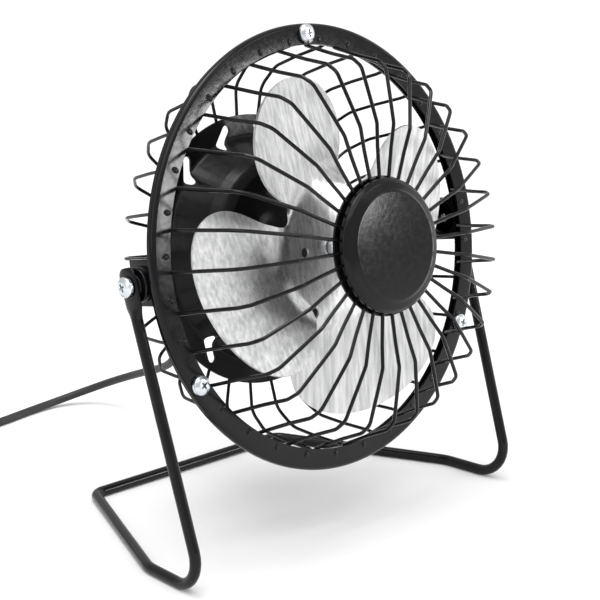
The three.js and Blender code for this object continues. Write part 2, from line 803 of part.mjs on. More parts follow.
// ---------------------------------------------------------------- rear cover and switch
const COVER_WALL = 1.6;
const SWITCH_Z = 6;
const SWITCH_HALF_X = 4.6;
const SWITCH_HALF_Z = 7;
const GLAND_Z = -11;
const GLAND_END = 55;
const GLAND_NECK = 2.2;

function rearCover() {
  const shell = turned(
    [
      [0, COVER_BACK],
      [16.6, COVER_BACK],
      [19.4, COVER_BACK - 1.6],
      [20.2, COVER_BACK - 4],
      [COVER_RADIUS, COVER_FRONT],
      [COVER_RADIUS - COVER_WALL, COVER_FRONT],
      [20.2 - COVER_WALL, COVER_BACK - 4.4],
      [16.2, COVER_BACK - COVER_WALL],
      [0, COVER_BACK - COVER_WALL],
    ],
    28,
  );
  const bossLength = 16;
  const boss = bar(2.6, COVER_FRONT, COVER_FRONT + bossLength, 10).translate(COVER_SCREW_CIRCLE, 0, 0);
  const thread = bar(1.4, COVER_FRONT - 1, COVER_FRONT + 9, 10).translate(COVER_SCREW_CIRCLE, 0, 0);
  const opening = block(
    0,
    COVER_BACK,
    SWITCH_Z,
    2 * (SWITCH_HALF_X + GAP),
    6,
    2 * (SWITCH_HALF_Z + GAP),
  );
  return cut(
    join(shell, ...COVER_SCREW_ANGLES.map((angle) => atAngle(boss.clone(), angle))),
    ...COVER_SCREW_ANGLES.map((angle) => atAngle(thread.clone(), angle)),
    opening,
    bar(GLAND_NECK + GAP, COVER_BACK - 4, COVER_BACK + 4, 16).translate(0, 0, GLAND_Z),
  );
}

const ROCKER_PIVOT_Y = COVER_BACK + 0.9;
const ROCKER_HALF_X = 3.6;
const ROCKER_REST = 9; // the rocker stands this far over in its off position
const ROCKER_PIN = 0.8;

// A frame with a well for the rocker and two terminals on its underside.
function switchBody() {
  const bezel = block(0, COVER_BACK + GAP + 0.6, SWITCH_Z, 11, 1.2, 16);
  const wellDepth = 5.6;
  const bodyBack = COVER_BACK + GAP + 0.2;
  const bodyFront = COVER_BACK - 6.2;
  const body = block(
    0,
    (bodyBack + bodyFront) / 2,
    SWITCH_Z,
    2 * SWITCH_HALF_X,
    bodyBack - bodyFront,
    2 * SWITCH_HALF_Z,
  );
  const wellFront = ROCKER_PIVOT_Y - wellDepth;
  const well = block(0, wellFront + 5, SWITCH_Z, 2 * (ROCKER_HALF_X + GAP), 10, 13.2);
  const pinHole = alongX(bar(ROCKER_PIN + GAP, -6, 6, 10)).translate(0, ROCKER_PIVOT_Y, SWITCH_Z);
  const terminals = [-3.4, 3.4].map((z) => block(0, bodyFront - 1, SWITCH_Z + z, 2.6, 3, 0.6));
  return cut(join(bezel, body, ...terminals), well, pinHole);
}

function switchRocker() {
  const crown = 1.9;
  const dip = 0.9;
  const half = 5.9;
  const shape = new THREE.Shape();
  shape.moveTo(dip, 0);
  shape.lineTo(crown, half);
  shape.lineTo(-0.6, half);
  shape.lineTo(-3.4, 3.1);
  shape.lineTo(-3.4, -3.1);
  shape.lineTo(-0.6, -half);
  shape.lineTo(crown, -half);
  const paddle = pressedAcross(shape, -ROCKER_HALF_X, ROCKER_HALF_X);
  const pin = alongX(bar(ROCKER_PIN, -SWITCH_HALF_X + 0.2, SWITCH_HALF_X - 0.2, 10));
  return join(paddle, pin)
    .rotateX(ROCKER_REST * DEGREE)
    .translate(0, ROCKER_PIVOT_Y, SWITCH_Z);
}

// The grommet that holds the cord in the cover, with a tapered sleeve behind it.
const cordGland = () =>
  turned(
    [
      [0, COVER_BACK - 3.2],
      [3.6, COVER_BACK - 3.2],
      [3.6, COVER_BACK - COVER_WALL - GAP],
      [GLAND_NECK, COVER_BACK - COVER_WALL - GAP],
      [GLAND_NECK, COVER_BACK + GAP],
      [3.5, COVER_BACK + GAP],
      [3.4, COVER_BACK + 1.6],
      [2.8, COVER_BACK + 2.4],
      [2.1, GLAND_END],
      [0, GLAND_END],
    ],
    14,
  ).translate(0, 0, GLAND_Z);

place(head, "rear_cover", rearCover(), blackPlastic);
place(head, "switch_body", switchBody(), blackPlastic);
place(head, "switch_rocker", switchRocker(), blackPlastic);
place(head, "cord_gland", cordGland(), blackPlastic);
COVER_SCREW_ANGLES.forEach((angle, index) => {
  const screw = panScrew(2.4, 1.5, 1.1, 8, 8).translate(COVER_SCREW_CIRCLE, BULGE_FRONT - GAP, 0);
  place(head, `cover_screw_${index + 1}`, atAngle(screw, angle), zinc);
});

// Two short leads join the gland, the switch and the motor.
const LEAD = 1.1;
const leadTop = SWITCH_Z - 3.4;
place(
  head,
  "red_lead",
  swept(
    [
      [1.8, COVER_BACK - 3.6, GLAND_Z],
      [2.6, COVER_BACK - 6.5, GLAND_Z + 0.6],
      [3.4, COVER_BACK - 8.6, GLAND_Z + 4],
      [2.4, COVER_BACK - 9.4, leadTop - 4],
      [0.6, COVER_BACK - 9.4, leadTop - 1.4],
      [0, COVER_BACK - 9.4, leadTop],
    ],
    LEAD,
    6,
  ),
  redJacket,
);
place(
  head,
  "black_lead",
  swept(
    [
      [-1.8, COVER_BACK - 3.6, GLAND_Z],
      [-3, COVER_BACK - 6.5, GLAND_Z + 0.6],
      [-5.6, COVER_BACK - 8.6, GLAND_Z + 3],
      [-7.4, COVER_BACK - 9.6, GLAND_Z + 7],
      [-BRUSH_X, COVER_BACK - 10.2, -1.6],
    ],
    LEAD,
    6,
  ),
  blackPlastic,
);

// ---------------------------------------------------------------- cord, coil and plug
const FLOOR_RISE = 0.05;
const CORD_Z = CORD / 2 + FLOOR_RISE;
const COIL_X = -75;
const COIL_Y = 116.1;
const COIL_RADIUS = 16.5; // the middle of the turns
const COIL_HALF_WIDTH = 3.1;
const COIL_BOTTOM = 0.9;
const COIL_HEIGHT = 12.2;
const OUTER_TURN = COIL_RADIUS + CORD / 2;

group.updateMatrixWorld(true);
const leaving = head.localToWorld(new THREE.Vector3(0, GLAND_END + GAP, GLAND_Z)).toArray();

// The cord droops behind the fan, comes to rest on the floor and runs off to the coil.
const CORD_ROUTE = [
  leaving,
  [0.3, 46.8, 68.3],
  [1.5, 51.5, 64.2],
  [4, 56, 56.5],
  [7, 61.5, 48.5],
  [10, 66.5, 41.5],
  [13, 71.7, 35.5],
  [16, 78.5, 29.6],
  [19.5, 88.5, 24.6],
  [22.4, 101.4, 19.6],
  [24.3, 114, 14.6],
  [23.8, 124.9, 10],
  [20.6, 131.8, 6.7],
  [14, 137, 3.8],
  [6, 139.3, 2.1],
  [-6, 138.4, CORD_Z],
  [-21, 135.6, CORD_Z],
  [-38, 134.2, CORD_Z],
  [-52, 134.05, CORD_Z],
  [COIL_X + 11, COIL_Y + OUTER_TURN, CORD_Z],
];

// The tail leaves the coil towards the front and ends in the plug.
const PLUG_X = COIL_X - OUTER_TURN - 1.7;
const PLUG_END_Y = 91;
const PLUG_Z = 4.2;
const TAIL_ROUTE = [
  [COIL_X - OUTER_TURN - 3.6, COIL_Y - 3, CORD_Z],
  [COIL_X - OUTER_TURN - 3.8, COIL_Y - 9, CORD_Z + 0.3],
  [COIL_X - OUTER_TURN - 3, COIL_Y - 15, CORD_Z + 1.4],
  [COIL_X - OUTER_TURN - 2, COIL_Y - 20, PLUG_Z - 0.4],
  [PLUG_X, PLUG_END_Y + GAP, PLUG_Z],
];

place(group, "power_cord", swept(CORD_ROUTE, CORD, CORD_SIDES), cordJacket);
place(group, "cord_tail", swept(TAIL_ROUTE, CORD, CORD_SIDES), cordJacket);

const coil = turned(
  [
    [COIL_RADIUS - COIL_HALF_WIDTH, -COIL_HEIGHT / 2],
    [COIL_RADIUS + COIL_HALF_WIDTH, -COIL_HEIGHT / 2],
    [COIL_RADIUS + COIL_HALF_WIDTH, COIL_HEIGHT / 2],
    [COIL_RADIUS - COIL_HALF_WIDTH, COIL_HEIGHT / 2],
  ],
  36,
)
  .rotateX(90 * DEGREE)
  .translate(COIL_X, COIL_Y, COIL_BOTTOM + COIL_HEIGHT / 2);
place(group, "cord_coil", coil, cordJacket);

// A strap round one side of the coil.
function coilTie() {
  const wall = 0.5;
  const slack = 0.5;
  const width = 4;
  const holeHeight = COIL_HEIGHT + 2 * GAP;
  const middle = [COIL_X, COIL_Y - COIL_RADIUS, COIL_BOTTOM + COIL_HEIGHT / 2];
  const holeDepth = 2 * (COIL_HALF_WIDTH + slack);
  const strap = block(...middle, width, holeDepth + 2 * wall, holeHeight + 2 * wall);
  return cut(strap, block(...middle, width + 2, holeDepth, holeHeight));
}
place(group, "coil_tie", coilTie(), blackPlastic);

// A USB plug: soft grip, folded steel shell and the tongue that carries the contacts.
const GRIP_WIDTH = 15.6;
const GRIP_HEIGHT = 8;
const GRIP_LENGTH = 22;
const SHELL_WIDTH = 12;
const SHELL_HEIGHT = 4.5;
const SHELL_LENGTH = 12.5;

function plugGrip() {
  const body = block(0, -GRIP_LENGTH / 2 - 5, 0, GRIP_WIDTH, GRIP_LENGTH - 5, GRIP_HEIGHT);
  const neck = turned(
    [
      [0, -8],
      [3.9, -8],
      [3.6, -5],
      [2.2, 0],
      [0, 0],
    ],
    16,
  );
  return join(body, neck).translate(PLUG_X, PLUG_END_Y, PLUG_Z);
}

function plugShell() {
  const front = PLUG_END_Y - 5 - GRIP_LENGTH + 5 - 2.5 - GAP;
  const middle = front - SHELL_LENGTH / 2;
  const shell = block(PLUG_X, middle, PLUG_Z, SHELL_WIDTH, SHELL_LENGTH, SHELL_HEIGHT);
  const hollow = block(PLUG_X, middle - 1, PLUG_Z, SHELL_WIDTH - 0.7, SHELL_LENGTH, SHELL_HEIGHT - 0.7);
  const windows = [-1, 1].map((side) =>
    block(PLUG_X + side * 2.9, middle - 0.5, PLUG_Z + SHELL_HEIGHT / 2, 2.4, 2.4, 2),
  );
  return cut(shell, hollow, ...windows);
}

place(group, "plug_grip", plugGrip(), blackPlastic);
place(group, "plug_shell", plugShell(), zinc);

export default group;
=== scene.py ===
# %% [markdown]
# # A small metal desk fan
# The fan is a round head in a bent-rod stand. Its solid model is already packed as a frame: every
# node there has the right size and place, but plain shapes and plain colours. In this lesson the
# frame is loaded, better shapes are built over the nodes that show, and every surface gets a finish
# made of shader nodes. Pieces are built in millimetres and put in place by one matrix each.

import json
from math import acos, atan2, cos, degrees, hypot, pi, radians, sin, sqrt, tan

import bmesh
import bpy
from mathutils import Matrix, Vector


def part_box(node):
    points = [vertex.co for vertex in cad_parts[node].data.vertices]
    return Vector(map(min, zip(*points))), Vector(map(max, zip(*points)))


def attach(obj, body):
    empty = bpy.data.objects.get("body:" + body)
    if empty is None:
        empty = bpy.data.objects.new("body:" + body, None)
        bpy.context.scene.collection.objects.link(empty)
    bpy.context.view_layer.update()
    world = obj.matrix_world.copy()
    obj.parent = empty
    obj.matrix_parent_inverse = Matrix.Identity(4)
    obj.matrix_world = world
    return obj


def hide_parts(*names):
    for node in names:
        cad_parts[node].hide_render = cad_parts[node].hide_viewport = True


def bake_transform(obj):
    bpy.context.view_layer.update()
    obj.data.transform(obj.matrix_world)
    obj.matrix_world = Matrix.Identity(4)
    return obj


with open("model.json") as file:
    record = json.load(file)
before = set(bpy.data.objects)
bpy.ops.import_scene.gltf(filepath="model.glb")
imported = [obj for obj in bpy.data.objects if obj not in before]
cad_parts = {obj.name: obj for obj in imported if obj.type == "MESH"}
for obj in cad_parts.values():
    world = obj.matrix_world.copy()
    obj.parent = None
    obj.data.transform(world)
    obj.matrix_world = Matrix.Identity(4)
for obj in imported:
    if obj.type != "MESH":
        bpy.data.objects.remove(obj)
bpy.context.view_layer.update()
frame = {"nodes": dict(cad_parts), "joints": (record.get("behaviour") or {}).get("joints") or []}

# %% [markdown]
# ## Where things are
# The head turns on a hinge and the wheel on its shaft. Both joints are in the frame, so the hinge's
# place and the head's backward lean are read from it and not typed in again. HEAD carries a point
# from the head's own millimetres (Y along the shaft, the front at -Y) to its place in the scene.

# %% Places taken from the joints
MM = 0.001
joints = {joint["name"]: joint for joint in frame["joints"]}
HINGE = Vector(joints["head_tilt"]["pos_m"])
SHAFT = Vector(joints["wheel_spin"]["axis"])
LEAN = atan2(SHAFT.z, -SHAFT.y)
FLOOR = Matrix.Scale(MM, 4)
HEAD = Matrix.Translation(HINGE) @ Matrix.Rotation(-LEAN, 4, "X") @ FLOOR
print("hinge", [round(v, 5) for v in HINGE], "lean", round(degrees(LEAN), 2))


def at_angle(angle):
    """A turn about the shaft, anticlockwise from +X as seen from the front."""
    return Matrix.Rotation(-radians(angle), 4, "Y")


# %% [markdown]
# ## The camera
# A view from the front left, a little above the head, with a long lens so that the rings stay
# nearly true circles. The camera comes first because the spare cord has to lie outside its view.

# %% Camera
camera_data = bpy.data.cameras.new("camera")
camera_data.sensor_width = 36
camera_data.lens = 104.913
camera_data.clip_start = 0.01
camera = bpy.data.objects.new("camera", camera_data)
camera.location = (-0.37959, -0.39581, 0.21488)
camera.rotation_euler = (radians(75.3), 0, radians(-44.25))
bpy.context.scene.collection.objects.link(camera)
bpy.context.scene.camera = camera
print("camera at", tuple(round(v, 4) for v in camera.location))

# %% [markdown]
# ## Shapes shared by many pieces
# Bent wire, rod and cord are all one thing: a section carried along a line. A turned piece is a
# profile spun about the shaft. A pressed sheet is a middle line with half its thickness added to
# each side. Three helpers cover them, and a fourth rounds the corners of any line first. The rest
# turn a shape into a piece, and cut, join and move shapes.

# %% Lines with rounded corners, and smooth lines through points
def eased(share):
    """A share from 0 to 1 that starts and stops gently."""
    return share * share * (3 - 2 * share)


def rounded(corners, radii, steps=6):
    """The corner points, with each inner corner bent to its radius."""
    at = [Vector(corner).to_3d() for corner in corners]
    points = [at[0]]
    for i in range(1, len(at) - 1):
        back = (at[i - 1] - at[i]).normalized()
        ahead = (at[i + 1] - at[i]).normalized()
        half = back.angle(ahead) / 2
        middle = (back + ahead).normalized()
        across = (ahead - back).normalized()
        centre = at[i] + middle * radii[i - 1] / sin(half)
        for step in range(steps + 1):
            turn = (pi / 2 - half) * (2 * step / steps - 1)
            points.append(centre + radii[i - 1] * (across * sin(turn) - middle * cos(turn)))
    points.append(at[-1])
    return points


def smooth_line(corners, steps=5):
    """A smooth line through all the points."""
    at = [Vector(corner) for corner in corners]
    at = [2 * at[0] - at[1]] + at + [2 * at[-1] - at[-2]]
    points = []
    for a, b, c, d in zip(at, at[1:], at[2:], at[3:]):
        for step in range(steps):
            t = step / steps
            points.append(
                0.5 * (2 * b + (c - a) * t + (2 * a - 5 * b + 4 * c - d) * t**2
                       + (3 * b - a - 3 * c + d) * t**3)
            )
    points.append(at[-2])
    return points


# %% A section carried along a line
def swept(points, sizes, sides=12, across=Vector((1, 0, 0))):
    """A tube along the points. sizes is one radius, or a pair of half sizes for each point."""
    shape = bmesh.new()
    if isinstance(sizes, (int, float)):
        sizes = [(sizes, sizes)] * len(points)
    rings = []
    last = len(points) - 1
    for i, (point, (wide, deep)) in enumerate(zip(points, sizes)):
        ahead = (points[min(i + 1, last)] - points[max(i - 1, 0)]).normalized()
        across = (across - across.dot(ahead) * ahead).normalized()
        up = ahead.cross(across)
        turns = [2 * pi * (side + 0.5) / sides for side in range(sides)]
        rings.append(
            [shape.verts.new(point + across * wide * cos(t) + up * deep * sin(t)) for t in turns]
        )
    for near, far in zip(rings, rings[1:]):
        for i in range(sides):
            shape.faces.new((near[i - 1], near[i], far[i], far[i - 1]))
    shape.faces.new(list(reversed(rings[0])))
    shape.faces.new(rings[-1])
    return shape


# %% A profile spun about the shaft, and a pressed sheet's profile
def turned(profile, segments=96, closed=False):
    """The (radius, y) points spun about the Y axis."""
    shape = bmesh.new()
    rings = []
    for radius, y in profile:
        if radius < 1e-6:
            rings.append([shape.verts.new((0, y, 0))] * segments)
            continue
        turns = [2 * pi * i / segments for i in range(segments)]
        rings.append([shape.verts.new((radius * cos(t), y, radius * sin(t))) for t in turns])
    if closed:
        rings.append(rings[0])
    for near, far in zip(rings, rings[1:]):
        for i in range(segments):
            corners = dict.fromkeys((near[i - 1], near[i], far[i], far[i - 1]))
            shape.faces.new(list(corners))
    bmesh.ops.recalc_face_normals(shape, faces=shape.faces)
    return shape


def sheet_profile(line, thickness):
    """Both sides of a bent sheet, from its middle line of (radius, y) points."""
    sides = [[], []]
    last = len(line) - 1
    for i, point in enumerate(line):
        along = (line[min(i + 1, last)] - line[max(i - 1, 0)]).normalized()
        normal = Vector((-along.y, along.x, 0)) * thickness / 2
        sides[0].append(point + normal)
        sides[1].append(point - normal)
    return [(p.x, p.y) for p in sides[0]] + [(p.x, p.y) for p in reversed(sides[1])]


# %% From a shape to a piece that rides on a body
def add_piece(name, body, shape, place, finish, nodes, sharp=35, rides=True):
    """Makes the shape an object, in place, with its finish, standing for the CAD nodes."""
    bmesh.ops.remove_doubles(shape, verts=shape.verts, dist=1e-5)
    shape.transform(place)
    mesh = bpy.data.meshes.new(name)
    for face in shape.faces:
        face.smooth = True
    for edge in shape.edges:
        edge.smooth = not (edge.is_manifold and edge.calc_face_angle(0) > radians(sharp))
    shape.to_mesh(mesh)
    shape.free()
    piece = bpy.data.objects.new(name, mesh)
    bpy.context.scene.collection.objects.link(piece)
    mesh.materials.append(finish)
    if rides:
        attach(piece, body)
    if nodes:
        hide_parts(*nodes)
    print(name, len(mesh.polygons), "faces")
    return piece


def baked(piece):
    """Applies the piece's modifiers to its mesh."""
    bpy.context.view_layer.update()
    evaluated = piece.evaluated_get(bpy.context.evaluated_depsgraph_get())
    mesh = bpy.data.meshes.new_from_object(evaluated)
    piece.modifiers.clear()
    old = piece.data
    piece.data = mesh
    bpy.data.meshes.remove(old)
    mesh.name = piece.name
    return piece


def cut_out(shape, tool):
    """The shape with the tool taken out of it. Both are used up."""
    pair = []
    for name, part in (("blank", shape), ("tool", tool)):
        mesh = bpy.data.meshes.new(name)
        part.to_mesh(mesh)
        part.free()
        pair.append(bpy.data.objects.new(name, mesh))
        bpy.context.scene.collection.objects.link(pair[-1])
    blank, cutter = pair
    step = blank.modifiers.new("cut", "BOOLEAN")
    step.operation = "DIFFERENCE"
    step.solver = "EXACT"
    step.object = cutter
    baked(blank)
    left = bmesh.new()
    left.from_mesh(blank.data)
    for part in pair:
        mesh = part.data
        bpy.data.objects.remove(part)
        bpy.data.meshes.remove(mesh)
    return left


def joined(shapes):
    """Several shapes as one."""
    whole = bmesh.new()
    for shape in shapes:
        mesh = bpy.data.meshes.new("part")
        shape.to_mesh(mesh)
        shape.free()
        whole.from_mesh(mesh)
        bpy.data.meshes.remove(mesh)
    return whole


def moved(shape, place):
    shape.transform(place)
    return shape


def drill(radius, start, end, segments=32):
    """A round bar along Y, to cut a hole."""
    return turned([(0, start), (radius, start), (radius, end), (0, end)], segments)


def block(x, y, z, width, depth, height, edge=0.0):
    """A block about a point, with its edges rounded over if edge isn't 0."""
    shape = bmesh.new()
    bmesh.ops.create_cube(shape, size=1)
    shape.transform(Matrix.Translation((x, y, z)) @ Matrix.Diagonal((width, depth, height, 1)))
    if edge:
        bmesh.ops.bevel(shape, geom=shape.edges, offset=edge, segments=3, affect="EDGES",
                        profile=0.5)
    return shape


# %% [markdown]
# ## Finishes: the shared effects
# Real surfaces are never one flat colour. Three effects are used again and again, so each is a node
# group that is built once. Grain is fine unevenness in tone and height. Dust settles on surfaces
# that face up. Streaks are the long scratches of brushed metal. The groups only put out numbers
# that change over the surface; the shader itself stays in each material.

# %% A helper for node groups
def new_group(name, inputs, outputs):
    """An empty shader node group with named value sockets, and its two ends."""
    group = bpy.data.node_groups.new(name, "ShaderNodeTree")
    for label, value in inputs.items():
        socket = group.interface.new_socket(label, in_out="INPUT", socket_type="NodeSocketFloat")
        socket.default_value = value
    for label in outputs:
        group.interface.new_socket(label, in_out="OUTPUT", socket_type="NodeSocketFloat")
    return group, group.nodes.new("NodeGroupInput"), group.nodes.new("NodeGroupOutput")


def math_node(tree, operation, first, second, clamp=False):
    """A Math node whose two inputs are sockets or plain numbers."""
    node = tree.nodes.new("ShaderNodeMath")
    node.operation = operation
    node.use_clamp = clamp
    for socket, value in zip(node.inputs, (first, second)):
        if isinstance(value, (int, float)):
            socket.default_value = value
        else:
            tree.links.new(value, socket)
    return node.outputs[0]


def noise_node(tree, vector, detail=3.0):
    """A Noise Texture fed by a vector socket; its Scale is left to the caller."""
    node = tree.nodes.new("ShaderNodeTexNoise")
    node.inputs["Detail"].default_value = detail
    tree.links.new(vector, node.inputs["Vector"])
    return node


# %% Grain: fine unevenness
def grain_group():
    group, start, end = new_group(
        "grain", {"Size mm": 1.0, "Patch mm": 20.0}, ["Fine", "Patches"]
    )
    place = group.nodes.new("ShaderNodeTexCoord").outputs["Object"]
    for size, output, detail in (("Size mm", "Fine", 4.0), ("Patch mm", "Patches", 2.0)):
        noise = noise_node(group, place, detail)
        scale = math_node(group, "DIVIDE", 1000.0, start.outputs[size])
        group.links.new(scale, noise.inputs["Scale"])
        group.links.new(noise.outputs["Fac"], end.inputs[output])
    return group


# %% Dust: more where the surface faces up
def dust_group():
    group, start, end = new_group("dust", {"Amount": 0.1}, ["Mask"])
    normal = group.nodes.new("ShaderNodeNewGeometry").outputs["Normal"]
    parts = group.nodes.new("ShaderNodeSeparateXYZ")
    group.links.new(normal, parts.inputs[0])
    noise = noise_node(group, group.nodes.new("ShaderNodeTexCoord").outputs["Object"], 6.0)
    noise.inputs["Scale"].default_value = 900.0
    facing = math_node(group, "MULTIPLY", parts.outputs["Z"], 1.0, clamp=True)
    spots = math_node(group, "MULTIPLY", facing, noise.outputs["Fac"])
    mask = math_node(group, "MULTIPLY", spots, start.outputs["Amount"], clamp=True)
    group.links.new(mask, end.inputs["Mask"])
    return group


# %% Streaks: long fine scratches, upright as the sheet was brushed
def streaks_group():
    group, start, end = new_group(
        "streaks", {"Width mm": 0.25, "Stretch": 60.0}, ["Fine", "Broad"]
    )
    place = group.nodes.new("ShaderNodeTexCoord").outputs["Object"]
    parts = group.nodes.new("ShaderNodeSeparateXYZ")
    group.links.new(place, parts.inputs[0])
    squeezed = group.nodes.new("ShaderNodeCombineXYZ")
    group.links.new(parts.outputs["X"], squeezed.inputs["X"])
    group.links.new(parts.outputs["Y"], squeezed.inputs["Y"])
    tall = math_node(group, "DIVIDE", parts.outputs["Z"], start.outputs["Stretch"])
    group.links.new(tall, squeezed.inputs["Z"])
    scale = math_node(group, "DIVIDE", 1000.0, start.outputs["Width mm"])
    for factor, output in ((1.0, "Fine"), (0.18, "Broad")):
        noise = noise_node(group, squeezed.outputs[0], 2.0)
        group.links.new(math_node(group, "MULTIPLY", scale, factor), noise.inputs["Scale"])
        group.links.new(noise.outputs["Fac"], end.inputs[output])
    return group


GRAIN = grain_group()
DUST = dust_group()
STREAKS = streaks_group()
print("effects:", [group.name for group in (GRAIN, DUST, STREAKS)])

# %% [markdown]
# ## Finishes: from effects to materials
# All the finishes here are opaque, so one recipe serves them. Two colours are mixed by the effect,
# roughness follows it too, and its fine part stands up a little as bump. What is the same all over
# a surface is set straight on the shader.

# %% The recipe
def place_group(tree, group, values):
    node = tree.nodes.new("ShaderNodeGroup")
    node.node_tree = group
    for label, value in values.items():
        node.inputs[label].default_value = value
    return node


def mixed(tree, factor, first, second):
    """A colour mix; each colour is a triple or a socket."""
    node = tree.nodes.new("ShaderNodeMix")
    node.data_type = "RGBA"
    tree.links.new(factor, node.inputs["Factor"])
    for socket, value in ((node.inputs[6], first), (node.inputs[7], second)):
        if isinstance(value, tuple):
            socket.default_value = (*value, 1)
        else:
            tree.links.new(value, socket)
    return node.outputs[2]


def spread(tree, factor, low, high):
    """A number that runs from low to high as the factor goes from its usual least to most."""
    node = tree.nodes.new("ShaderNodeMapRange")
    node.inputs["From Min"].default_value = 0.3
    node.inputs["From Max"].default_value = 0.7
    node.inputs["To Min"].default_value = low
    node.inputs["To Max"].default_value = high
    tree.links.new(factor, node.inputs["Value"])
    return node.outputs[0]


DUST_COLOUR = (0.42, 0.41, 0.39)


def make_finish(name, dark, light, roughness, effect, values, relief, dust=0.05, metal=0.0, coat=0.0,
                fixed=None):
    """A material whose tone, roughness and relief all follow one effect."""
    finish = bpy.data.materials.new(name)
    finish.use_nodes = True
    tree = finish.node_tree
    shader = tree.nodes["Principled BSDF"]
    pattern = place_group(tree, effect, values)
    fine, broad = pattern.outputs
    settled = place_group(tree, DUST, {"Amount": dust}).outputs["Mask"]
    tone = mixed(tree, spread(tree, broad, 0, 1), dark, light)
    tree.links.new(mixed(tree, settled, tone, DUST_COLOUR), shader.inputs["Base Color"])
    rough = math_node(tree, "ADD", spread(tree, fine, *roughness), settled, clamp=True)
    tree.links.new(rough, shader.inputs["Roughness"])
    bump = tree.nodes.new("ShaderNodeBump")
    bump.inputs["Distance"].default_value = relief * MM
    tree.links.new(fine, bump.inputs["Height"])
    tree.links.new(bump.outputs["Normal"], shader.inputs["Normal"])
    shader.inputs["Metallic"].default_value = metal
    shader.inputs["Coat Weight"].default_value = coat
    shader.inputs["Coat Roughness"].default_value = 0.06
    for label, value in (fixed or {}).items():
        shader.inputs[label].default_value = value
    return finish


# %% [markdown]
# ## The finishes of this fan
# The guards, plate, cap and stand are dipped in black enamel: glossy, with a faint ripple where the
# paint ran. The wheel is brushed aluminium and the screws are bright zinc with a cold cast. The
# housing behind the motor is moulded black plastic, which is duller and finely pebbled. The cord is
# soft vinyl, duller still. The motor's own materials are seen only through the gaps.

# %% Finishes
black_enamel = make_finish(
    "black_enamel", (0.002, 0.002, 0.003), (0.005, 0.005, 0.006), (0.11, 0.18), GRAIN,
    {"Size mm": 1.6, "Patch mm": 18}, 0.02, dust=0.01, fixed={"Specular IOR Level": 0.24},
)
plate_enamel = make_finish(
    "plate_enamel", (0.002, 0.002, 0.003), (0.005, 0.005, 0.006), (0.16, 0.24), GRAIN,
    {"Size mm": 2.4, "Patch mm": 25}, 0.04, dust=0.01, fixed={"Specular IOR Level": 0.16},
)
aluminium = make_finish(
    "aluminium", (0.46, 0.465, 0.47), (0.76, 0.76, 0.76), (0.26, 0.42), STREAKS,
    {"Width mm": 0.22, "Stretch": 70}, 0.02, dust=0.02, metal=1.0,
)
zinc = make_finish(
    "zinc", (0.60, 0.64, 0.68), (0.80, 0.84, 0.87), (0.18, 0.30), GRAIN,
    {"Size mm": 0.5, "Patch mm": 3}, 0.01, dust=0.02, metal=1.0,
)
steel = make_finish(
    "steel", (0.45, 0.45, 0.46), (0.60, 0.60, 0.60), (0.25, 0.38), STREAKS,
    {"Width mm": 0.3, "Stretch": 8}, 0.01, metal=1.0,
)
black_plastic = make_finish(
    "black_plastic", (0.012, 0.012, 0.013), (0.020, 0.020, 0.021), (0.42, 0.58), GRAIN,
    {"Size mm": 0.35, "Patch mm": 12}, 0.06, dust=0.05,
)
soft_black = make_finish(
    "soft_black", (0.014, 0.014, 0.015), (0.024, 0.024, 0.025), (0.5, 0.66), GRAIN,
    {"Size mm": 0.5, "Patch mm": 8}, 0.04, dust=0.06,
)
cord_vinyl = make_finish(
    "cord_vinyl", (0.008, 0.008, 0.009), (0.016, 0.016, 0.017), (0.45, 0.6), GRAIN,
    {"Size mm": 0.4, "Patch mm": 10}, 0.02, dust=0.06,
)
red_vinyl = make_finish(
    "red_vinyl", (0.30, 0.02, 0.015), (0.42, 0.035, 0.02), (0.4, 0.55), GRAIN,
    {"Size mm": 0.5, "Patch mm": 6}, 0.02,
)
black_nylon = make_finish(
    "black_nylon", (0.014, 0.014, 0.014), (0.022, 0.022, 0.022), (0.42, 0.55), GRAIN,
    {"Size mm": 0.4, "Patch mm": 4}, 0.02,
)
laminations = make_finish(
    "laminations", (0.12, 0.12, 0.13), (0.28, 0.28, 0.29), (0.4, 0.6), STREAKS,
    {"Width mm": 0.5, "Stretch": 30}, 0.05, metal=1.0,
)
copper = make_finish(
    "copper", (0.45, 0.17, 0.07), (0.70, 0.30, 0.14), (0.25, 0.4), STREAKS,
    {"Width mm": 0.3, "Stretch": 25}, 0.06, metal=1.0, coat=0.3,
)
bronze = make_finish(
    "bronze", (0.42, 0.26, 0.10), (0.60, 0.40, 0.18), (0.3, 0.5), GRAIN,
    {"Size mm": 0.3, "Patch mm": 3}, 0.02, metal=1.0,
)
ferrite = make_finish(
    "ferrite", (0.035, 0.035, 0.037), (0.07, 0.07, 0.072), (0.6, 0.8), GRAIN,
    {"Size mm": 0.3, "Patch mm": 5}, 0.08,
)
print("finishes:", len(bpy.data.materials))

# %% [markdown]
# ## The cord
# A thin round lead of about a metre. It leaves the head through a soft sleeve, drops behind the fan
# under its own weight, comes to rest on the floor and runs off to the side, where the spare length is
# wound in a round coil and tied. It is one tube swept along one line, so its length can be measured.
# The uncoiled part is a list of given points; the coil is worked out.

# %% The line on the floor and in the air
CORD_RADIUS = 1.5
CORD_Z = CORD_RADIUS + 0.05
SLEEVE_END = 55.3
SLEEVE_Z = -11
cord_exit = HEAD @ Vector((0, SLEEVE_END, SLEEVE_Z))

